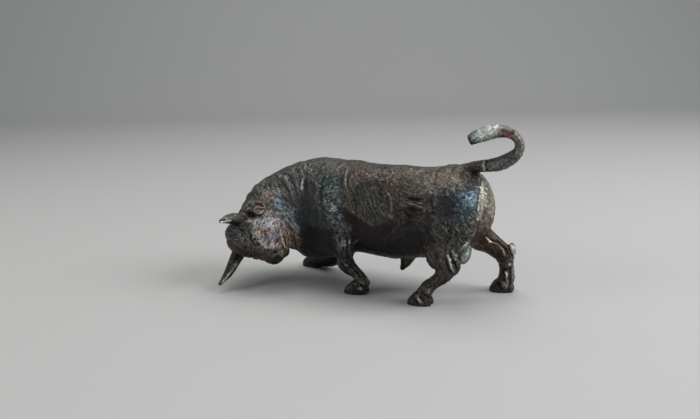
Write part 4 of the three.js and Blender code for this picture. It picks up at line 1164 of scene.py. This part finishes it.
# painted highlights on the claws and the fetlock
patch(421, 300, 3.4, 4.4, 0, (62, 56, 51), 0.8, (NEAR_HIND, HOOF))
area([(415.8, 294.4), (417.4, 294.8), (420.4, 300.6), (424, 302.6), (423.6, 304.2), (419.6, 303)], (112, 105, 98), 0.85, 0.8, (NEAR_HIND, HOOF))
patch(428.2, 291.4, 4, 2.8, -20, (90, 85, 80), 0.85, (NEAR_HIND, HOOF))
patch(486, 244, 18, 10, 20, (54, 42, 35), 0.95, (FAR_HIND, TRUNK))
patch(503, 252, 9, 10, 0, (44, 36, 31), 0.9, (FAR_HIND,))
patch(506, 272, 10, 18, 0, (50, 43, 38), 0.9, (FAR_HIND, HOOF))
# painted highlight on the point of the hock
area([(509, 243), (514, 246), (518, 252), (517, 260), (513.6, 257), (510.4, 250)], (150, 143, 136), 1.0, 0.9, (FAR_HIND,))
patch(497, 287, 9, 5, 0, (42, 34, 31), 0.85, (FAR_HIND, HOOF))
# painted highlights down the shank, on a spot below the hock and on the coronet and claws
area([(504.6, 271), (506.4, 271), (508.2, 280), (508.8, 288), (507, 288), (506.4, 280)], (138, 130, 120), 0.9, 0.7, (FAR_HIND, HOOF))
patch(510.6, 264.4, 1.3, 1.3, 0, (160, 150, 142), 0.9, (FAR_HIND,))
patch(492, 282.6, 3.6, 2.2, -20, (84, 78, 74), 0.7, (FAR_HIND, HOOF))
patch(504.6, 286.4, 2.6, 2.6, 0, (112, 104, 96), 0.7, (FAR_HIND, HOOF))
area([(512, 266), (514.6, 266), (514.4, 287), (511.6, 287)], (98, 90, 82), 0.8, 1.2, (FAR_HIND, HOOF))
# painted highlights along the ridge of the far hind leg
area([(486, 237), (489, 239.6), (492.6, 242.2), (491.8, 243.6), (488, 241.6), (485, 238.6)], (150, 136, 126), 0.9, 0.7, (FAR_HIND, TRUNK))
area([(494, 242.6), (500.6, 246), (504, 251), (505, 256), (503.6, 256), (502, 251.4), (499, 247.6), (494, 244.4)], (104, 90, 80), 0.8, 0.8, (FAR_HIND, TRUNK))
patch(482, 247, 9, 4, 20, (76, 60, 52), 0.6, (FAR_HIND, TRUNK))
patch(495, 249, 6, 3.4, 30, (72, 58, 50), 0.6, (FAR_HIND, TRUNK))
area([(486, 246), (498, 252), (504, 262), (497, 262), (492, 255), (480, 250)], (40, 31, 26), 0.7, 2.5, (FAR_HIND, TRUNK))
# painted highlight on the claw
patch(506, 284, 4, 5, 0, (84, 76, 68), 0.7, (FAR_HIND, HOOF))
patch(342, 240, 8, 14, 0, (54, 54, 55), 0.9, (NEAR_FORE, TRUNK))
# painted highlights on the upper foreleg
patch(343.4, 242, 2.4, 5, -14, (108, 108, 108), 0.7, (NEAR_FORE, TRUNK))
patch(349.6, 242, 1.3, 2.2, 0, (128, 126, 122), 0.8, (NEAR_FORE, TRUNK))
patch(346, 229, 6, 6, 0, (62, 60, 56), 0.7, (NEAR_FORE, TRUNK))
patch(355.6, 242, 3.0, 2.4, -40, (54, 49, 46), 0.7, (NEAR_FORE, TRUNK))
patch(337, 241, 3.4, 8, -10, (58, 58, 62), 0.6, (NEAR_FORE, TRUNK))
patch(348, 262, 12, 14, 0, (35, 35, 35), 0.9, (NEAR_FORE,))
# painted highlights on the knee
patch(346.4, 266.4, 2.0, 2.0, 0, (84, 82, 80), 0.7, (NEAR_FORE,))
patch(354.4, 268.4, 3.6, 2.0, 42, (68, 78, 80), 0.7, (NEAR_FORE,))
patch(356, 281, 4, 3.4, 0, (38, 41, 36), 0.8, (NEAR_FORE, HOOF))
# painted highlight on the dewclaw
patch(363.6, 283, 2.4, 2.2, 0, (112, 110, 105), 0.8, (NEAR_FORE, HOOF))
patch(353, 288, 12, 8, 0, (40, 37, 36), 0.9, (NEAR_FORE, HOOF))
# painted highlight on the hoof
patch(359.8, 289.4, 2.2, 1.7, 0, (118, 114, 108), 0.85, (NEAR_FORE, HOOF))
patch(324, 260, 24, 10, 0, (31, 26, 24), 0.9, (FAR_FORE, HOOF))
patch(309, 257.4, 5.4, 4, 0, (58, 46, 40), 0.8, (FAR_FORE, HOOF, TRUNK))
patch(313.4, 251.6, 4, 5, -25, (50, 42, 38), 0.7, (FAR_FORE, TRUNK))
# painted highlight along the edge of the brisket
brisket_edge_highlight = (74, 66, 58)
area([(293, 248), (300, 250.6), (307, 254), (306, 255.4), (299, 252.6), (292, 249.6)], brisket_edge_highlight, 0.8, 0.7, HEADS)
patch(463, 253, 8, 12, 0, (124, 133, 129), 0.95, (BALLS,))
patch(465.6, 249, 3, 6, 10, (140, 148, 142), 0.7, (BALLS,))
area([(459, 250.6), (463, 246), (468.4, 242.6), (470, 246), (470.6, 252), (458, 254)], (124, 134, 129), 0.95, 0.9, (TRUNK, BALLS, FAR_HIND))
# painted highlight on top of the testicle
patch(466.8, 245, 1.8, 2.6, 20, (190, 194, 188), 0.8, (TRUNK, BALLS, FAR_HIND))
# painted shade on its left side
patch(457.6, 259, 3.4, 5, 20, (30, 30, 28), 0.9, (BALLS,))
# painted highlight on the sheath
patch(406, 259, 3, 3.4, 0, (104, 88, 76), 0.9, (SHEATH, TRUNK))
patch(402, 266, 6, 6, 0, (34, 21, 18), 0.9, (SHEATH,))
patch(405.6, 263.4, 1.6, 2.4, 30, (84, 62, 52), 0.7, (SHEATH,))
# tail
TAILS = (TAIL, TRUNK)
# the pale upper side of the tail is a painted sheen
patch(484, 132, 17, 9, -12, (156, 164, 158), 1.0, (TAIL,))
patch(497, 129, 7, 4, 0, (178, 173, 160), 0.85, (TAIL,))
patch(488, 137, 9, 2.4, -14, (104, 108, 102), 0.6, (TAIL,))
patch(507, 134, 6, 3.4, 25, (112, 76, 68), 0.9, (TAIL,))
patch(506, 127, 8, 3, 15, (140, 132, 126), 0.8, (TAIL,))
patch(519, 138, 6, 7, 0, (122, 116, 108), 0.9, (TAIL,))
patch(516, 148, 4, 9, 0, (72, 66, 62), 0.8, (TAIL,))
patch(521, 153, 5, 9, 0, (92, 92, 88), 0.8, (TAIL,))
patch(500, 166, 22, 6, -10, (76, 80, 76), 0.9, (TAIL,))
patch(496, 170, 14, 2.4, -6, (56, 58, 56), 0.7, (TAIL,))
patch(484, 166, 4, 5, 0, (104, 106, 98), 0.8, TAILS)
patch(469.0, 140, 2.4, 4, 0, (44, 46, 42), 0.9, (TAIL,))


def outline_distance(shape, p):
    """signed distance to an outline, negative inside"""
    best, inside = np.full(len(p), 1e9), np.zeros(len(p), bool)
    for a, b in zip(shape, np.roll(shape, -1, 0)):
        e = b - a
        t = np.clip(((p - a) @ e) / max(e @ e, 1e-9), 0, 1)
        best = np.minimum(best, ((p - a - t[:, None] * e) ** 2).sum(1))
        if a[1] != b[1]:
            inside ^= ((a[1] > p[:, 1]) != (b[1] > p[:, 1])) & (p[:, 0] < e[0] * (p[:, 1] - a[1]) / e[1] + a[0])
    return np.where(inside, -1, 1) * np.sqrt(best)


def painted(u, v, tags, stray, base):
    out = base.copy()
    u, v = u + 2.0 * stray[0], v + 2.0 * stray[1]
    for kind, shape, colour, strength, soft, forms in paints:
        allowed = np.zeros(14, bool)
        allowed[list(forms)] = True
        if kind == "round":
            cu, cv, ru, rv, turn = shape
            reach = 1.5 * max(ru, rv)
            i = np.flatnonzero((np.abs(u - cu) < reach) & (np.abs(v - cv) < reach) & allowed[tags])
            du, dv = u[i] - cu, v[i] - cv
            a, b = du * math.cos(turn) + dv * math.sin(turn), -du * math.sin(turn) + dv * math.cos(turn)
            w = strength * ease(np.sqrt((a / ru) ** 2 + (b / rv) ** 2), 1.35, 0.5)
        else:
            lo, hi = shape.min(0) - soft, shape.max(0) + soft
            i = np.flatnonzero((u > lo[0]) & (u < hi[0]) & (v > lo[1]) & (v < hi[1]) & allowed[tags])
            w = strength * ease(outline_distance(shape, np.stack([u[i], v[i]], 1)), soft, -soft)
        w = w[:, None]
        out[i] = out[i] * (1 - w) + colour * w
    return out


stray = (1.5 * layers(P, 5.5, 77, 3, 0.65), 1.5 * layers(P, 5.5, 177, 3, 0.65))
base = np.tile(BRONZE, (len(P), 1))
base *= (1 + 0.25 * layers(P, 16.0, 91, 3))[:, None]
# painted shade: undersides darkened; painted light: upward faces lightened
painted_underside_shade = ease(NS[:, 2], 0.15, -0.65)[:, None]
base = base * (1 - painted_underside_shade) + srgb(32, 28, 27) * painted_underside_shade
painted_top_light = (ease(NS[:, 2], 0.55, 0.95) * 0.8)[:, None]
base = base * (1 - painted_top_light) + srgb(92, 87, 80) * painted_top_light
fit = ease(seen(NS, P), 0.02, 0.22)[:, None]
u, v = pixel(P)
near = painted(u, v, tags, stray, base)
Q, M = mirror_across(P, NS, tags)
mu, mv = pixel(Q)
far_fit = (ease(seen(M, Q), 0.05, 0.35) * np.isin(tags, (TRUNK, HEAD)))[:, None]
far = painted(mu, mv, tags, stray, base)
far = base + (0.45 * mirrored_share(mu, mv))[:, None] * (far - base)
tint = near * fit + (1 - fit) * (far * far_fit + base * (1 - far_fit))
# what the light does to a side or a top, taken out again
tint = np.maximum(tint - 0.0035, 0.0015) * (1.22 - 0.32 * np.clip(NS[:, 2], 0, 1))[:, None]
# raised marks are painted bright, as rubbed wear and painted glints; sunk ones darker, as dirt and painted shade
rub_and_painted_light = (relief_marks(P, NS, tags) / 0.34)
rub_and_painted_light = 1 + 0.95 * np.clip(rub_and_painted_light, 0, 1.6) - 0.55 * np.clip(-rub_and_painted_light, 0, 1)
tint = np.clip(tint * (rub_and_painted_light * (1 + 0.35 * proud))[:, None], 0.0012, 1)

# the patina colour per point, with its painted highlights and painted shade
colour = mesh.color_attributes.new("patina_and_painted_light", "FLOAT_COLOR", "POINT")
colour.data.foreach_set("color", np.concatenate([tint, np.ones((len(P), 1))], 1).astype(np.float32).ravel())
proud_attr = mesh.attributes.new("proud", "FLOAT", "POINT")
proud_attr.data.foreach_set("value", proud.astype(np.float32))


# ------------------------------------------------------------------ bronze
def bronze_material():
    m = bpy.data.materials.new("cast_bronze")
    m.use_nodes = True
    t = m.node_tree
    t.nodes.clear()
    new = lambda kind, **k: _set(t.nodes.new(kind), **k)

    def _set(node, **k):
        for name, value in k.items():
            setattr(node, name, value)
        return node
    link = t.links.new
    out = new("ShaderNodeOutputMaterial")
    bsdf = new("ShaderNodeBsdfPrincipled")
    bsdf.inputs["Metallic"].default_value = 0.55
    bsdf.inputs["Specular IOR Level"].default_value = 0.5
    link(bsdf.outputs[0], out.inputs[0])
    place = new("ShaderNodeTexCoord")
    paint = new("ShaderNodeAttribute", attribute_name="patina_and_painted_light")
    proud = new("ShaderNodeAttribute", attribute_name="proud")

    def tex(scale, detail=3.0, rough=0.6):
        n = new("ShaderNodeTexNoise")
        n.inputs["Scale"].default_value = scale
        n.inputs["Detail"].default_value = detail
        n.inputs["Roughness"].default_value = rough
        link(place.outputs["Object"], n.inputs["Vector"])
        return n

    def ranged(src, a, b, lo, hi):
        n = new("ShaderNodeMapRange")
        link(src, n.inputs["Value"])
        for k, x in zip(("From Min", "From Max", "To Min", "To Max"), (a, b, lo, hi)):
            n.inputs[k].default_value = x
        return n.outputs["Result"]

    def math_(op, a, b):
        n = new("ShaderNodeMath", operation=op)
        for s, x in zip(n.inputs, (a, b)):
            if isinstance(x, (int, float)):
                s.default_value = x
            else:
                link(x, s)
        return n.outputs[0]

    grain = tex(1500, 2, 0.6)
    speck = tex(620, 2, 0.6)
    broad = tex(120, 3, 0.6)
    glint = tex(880, 1, 0.5)
    value = math_("MULTIPLY", ranged(grain.outputs["Fac"], 0.38, 0.64, 0.60, 1.40), ranged(speck.outputs["Fac"], 0.38, 0.62, 0.72, 1.25))
    value = math_("MULTIPLY", value, ranged(broad.outputs["Fac"], 0.38, 0.62, 0.8, 1.2))
    value = math_("MULTIPLY", value, ranged(glint.outputs["Fac"], 0.61, 0.69, 1.0, 1.7))
    scale = new("ShaderNodeVectorMath", operation="SCALE")
    link(paint.outputs["Color"], scale.inputs[0])
    link(value, scale.inputs["Scale"])
    link(scale.outputs[0], bsdf.inputs["Base Color"])
    rough = math_("ADD", ranged(grain.outputs["Fac"], 0.38, 0.62, 0.50, 0.32), ranged(proud.outputs["Fac"], -1, 1, 0.08, -0.06))
    link(rough, bsdf.inputs["Roughness"])
    bump = new("ShaderNodeBump")
    bump.inputs["Strength"].default_value = 0.9
    bump.inputs["Distance"].default_value = 0.0006
    height = math_("ADD", math_("MULTIPLY", grain.outputs["Fac"], 0.6), speck.outputs["Fac"])
    link(height, bump.inputs["Height"])
    link(bump.outputs[0], bsdf.inputs["Normal"])
    return m


mesh.materials.clear()
mesh.materials.append(bronze_material())
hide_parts("bull_casting")
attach(bull, "root")

# ------------------------------------------------------------------ floor
floor_mesh = bpy.data.meshes.new("floor")
verts, faces = [], []
profile = [(0.0, -2.2, 0.0), (0.0, 1.1, 0.0)]
for i in range(1, 13):
    a = math.pi / 2 * i / 12
    profile.append((0.0, 1.1 + 0.5 * math.sin(a), 0.5 - 0.5 * math.cos(a)))
profile.append((0.0, 1.6, 2.6))
for sx in (-3.2, 3.2):
    verts += [(sx, y, z) for _, y, z in profile]
k = len(profile)
faces = [(i, i + k, i + k + 1, i + 1) for i in range(k - 1)]
floor_mesh.from_pydata(verts, [], faces)
for p in floor_mesh.polygons:
    p.use_smooth = True
floor = bpy.data.objects.new("floor", floor_mesh)
bpy.context.scene.collection.objects.link(floor)
pale = bpy.data.materials.new("pale_floor")
pale.use_nodes = True
b = pale.node_tree.nodes["Principled BSDF"]
b.inputs["Base Color"].default_value = (0.62, 0.61, 0.59, 1)
b.inputs["Roughness"].default_value = 0.55
floor_mesh.materials.append(pale)
turn = math.atan2(-LOOK[0], LOOK[1])
floor.rotation_euler = (0, 0, turn)

# ------------------------------------------------------------------ light
world = bpy.data.worlds.new("studio")
bpy.context.scene.world = world
world.use_nodes = True
world.node_tree.nodes["Background"].inputs[0].default_value = (0.86, 0.93, 1.0, 1)
world.node_tree.nodes["Background"].inputs[1].default_value = 0.22


def lamp(name, place, target, size, power, colour=(1, 1, 1)):
    data = bpy.data.lights.new(name, "AREA")
    data.shape = "RECTANGLE"
    data.size, data.size_y = size
    data.energy = power
    data.color = colour
    ob = bpy.data.objects.new(name, data)
    bpy.context.scene.collection.objects.link(ob)
    ob.location = place
    ob.rotation_euler = (Vector(target) - Vector(place)).to_track_quat("-Z", "Y").to_euler()
    return ob


lamp("side", (0.95, 0.25, 0.75), (0, 0, 0.05), (0.7, 0.7), 9.0, (0.95, 0.98, 1.0))
lamp("sky", (-0.1, 0.25, 1.15), (0, 0, 0.05), (0.9, 0.9), 5.5)
lamp("front", (-0.70, -0.70, 0.50), (-0.03, -0.02, 0.05), (0.4, 0.4), 2.2, (1.0, 0.97, 0.94))

# ------------------------------------------------------------------ camera
camera = bpy.data.cameras.new("camera")
camera.sensor_fit = "HORIZONTAL"
camera.sensor_width = 36.0
camera.lens = FOCAL / 700 * 36
camera.clip_start, camera.clip_end = 0.01, 50
cam = bpy.data.objects.new("camera", camera)
bpy.context.scene.collection.objects.link(cam)
x, y, z = unit(SIDE), unit(RISE), -unit(LOOK)
cam.matrix_world = Matrix(((x[0], y[0], z[0], (EYE[0] + SHIFT[0]) / 1000), (x[1], y[1], z[1], (EYE[1] + SHIFT[1]) / 1000),
                           (x[2], y[2], z[2], EYE[2] / 1000), (0, 0, 0, 1)))
bpy.context.scene.camera = cam
bpy.context.scene.view_settings.view_transform = "Standard"
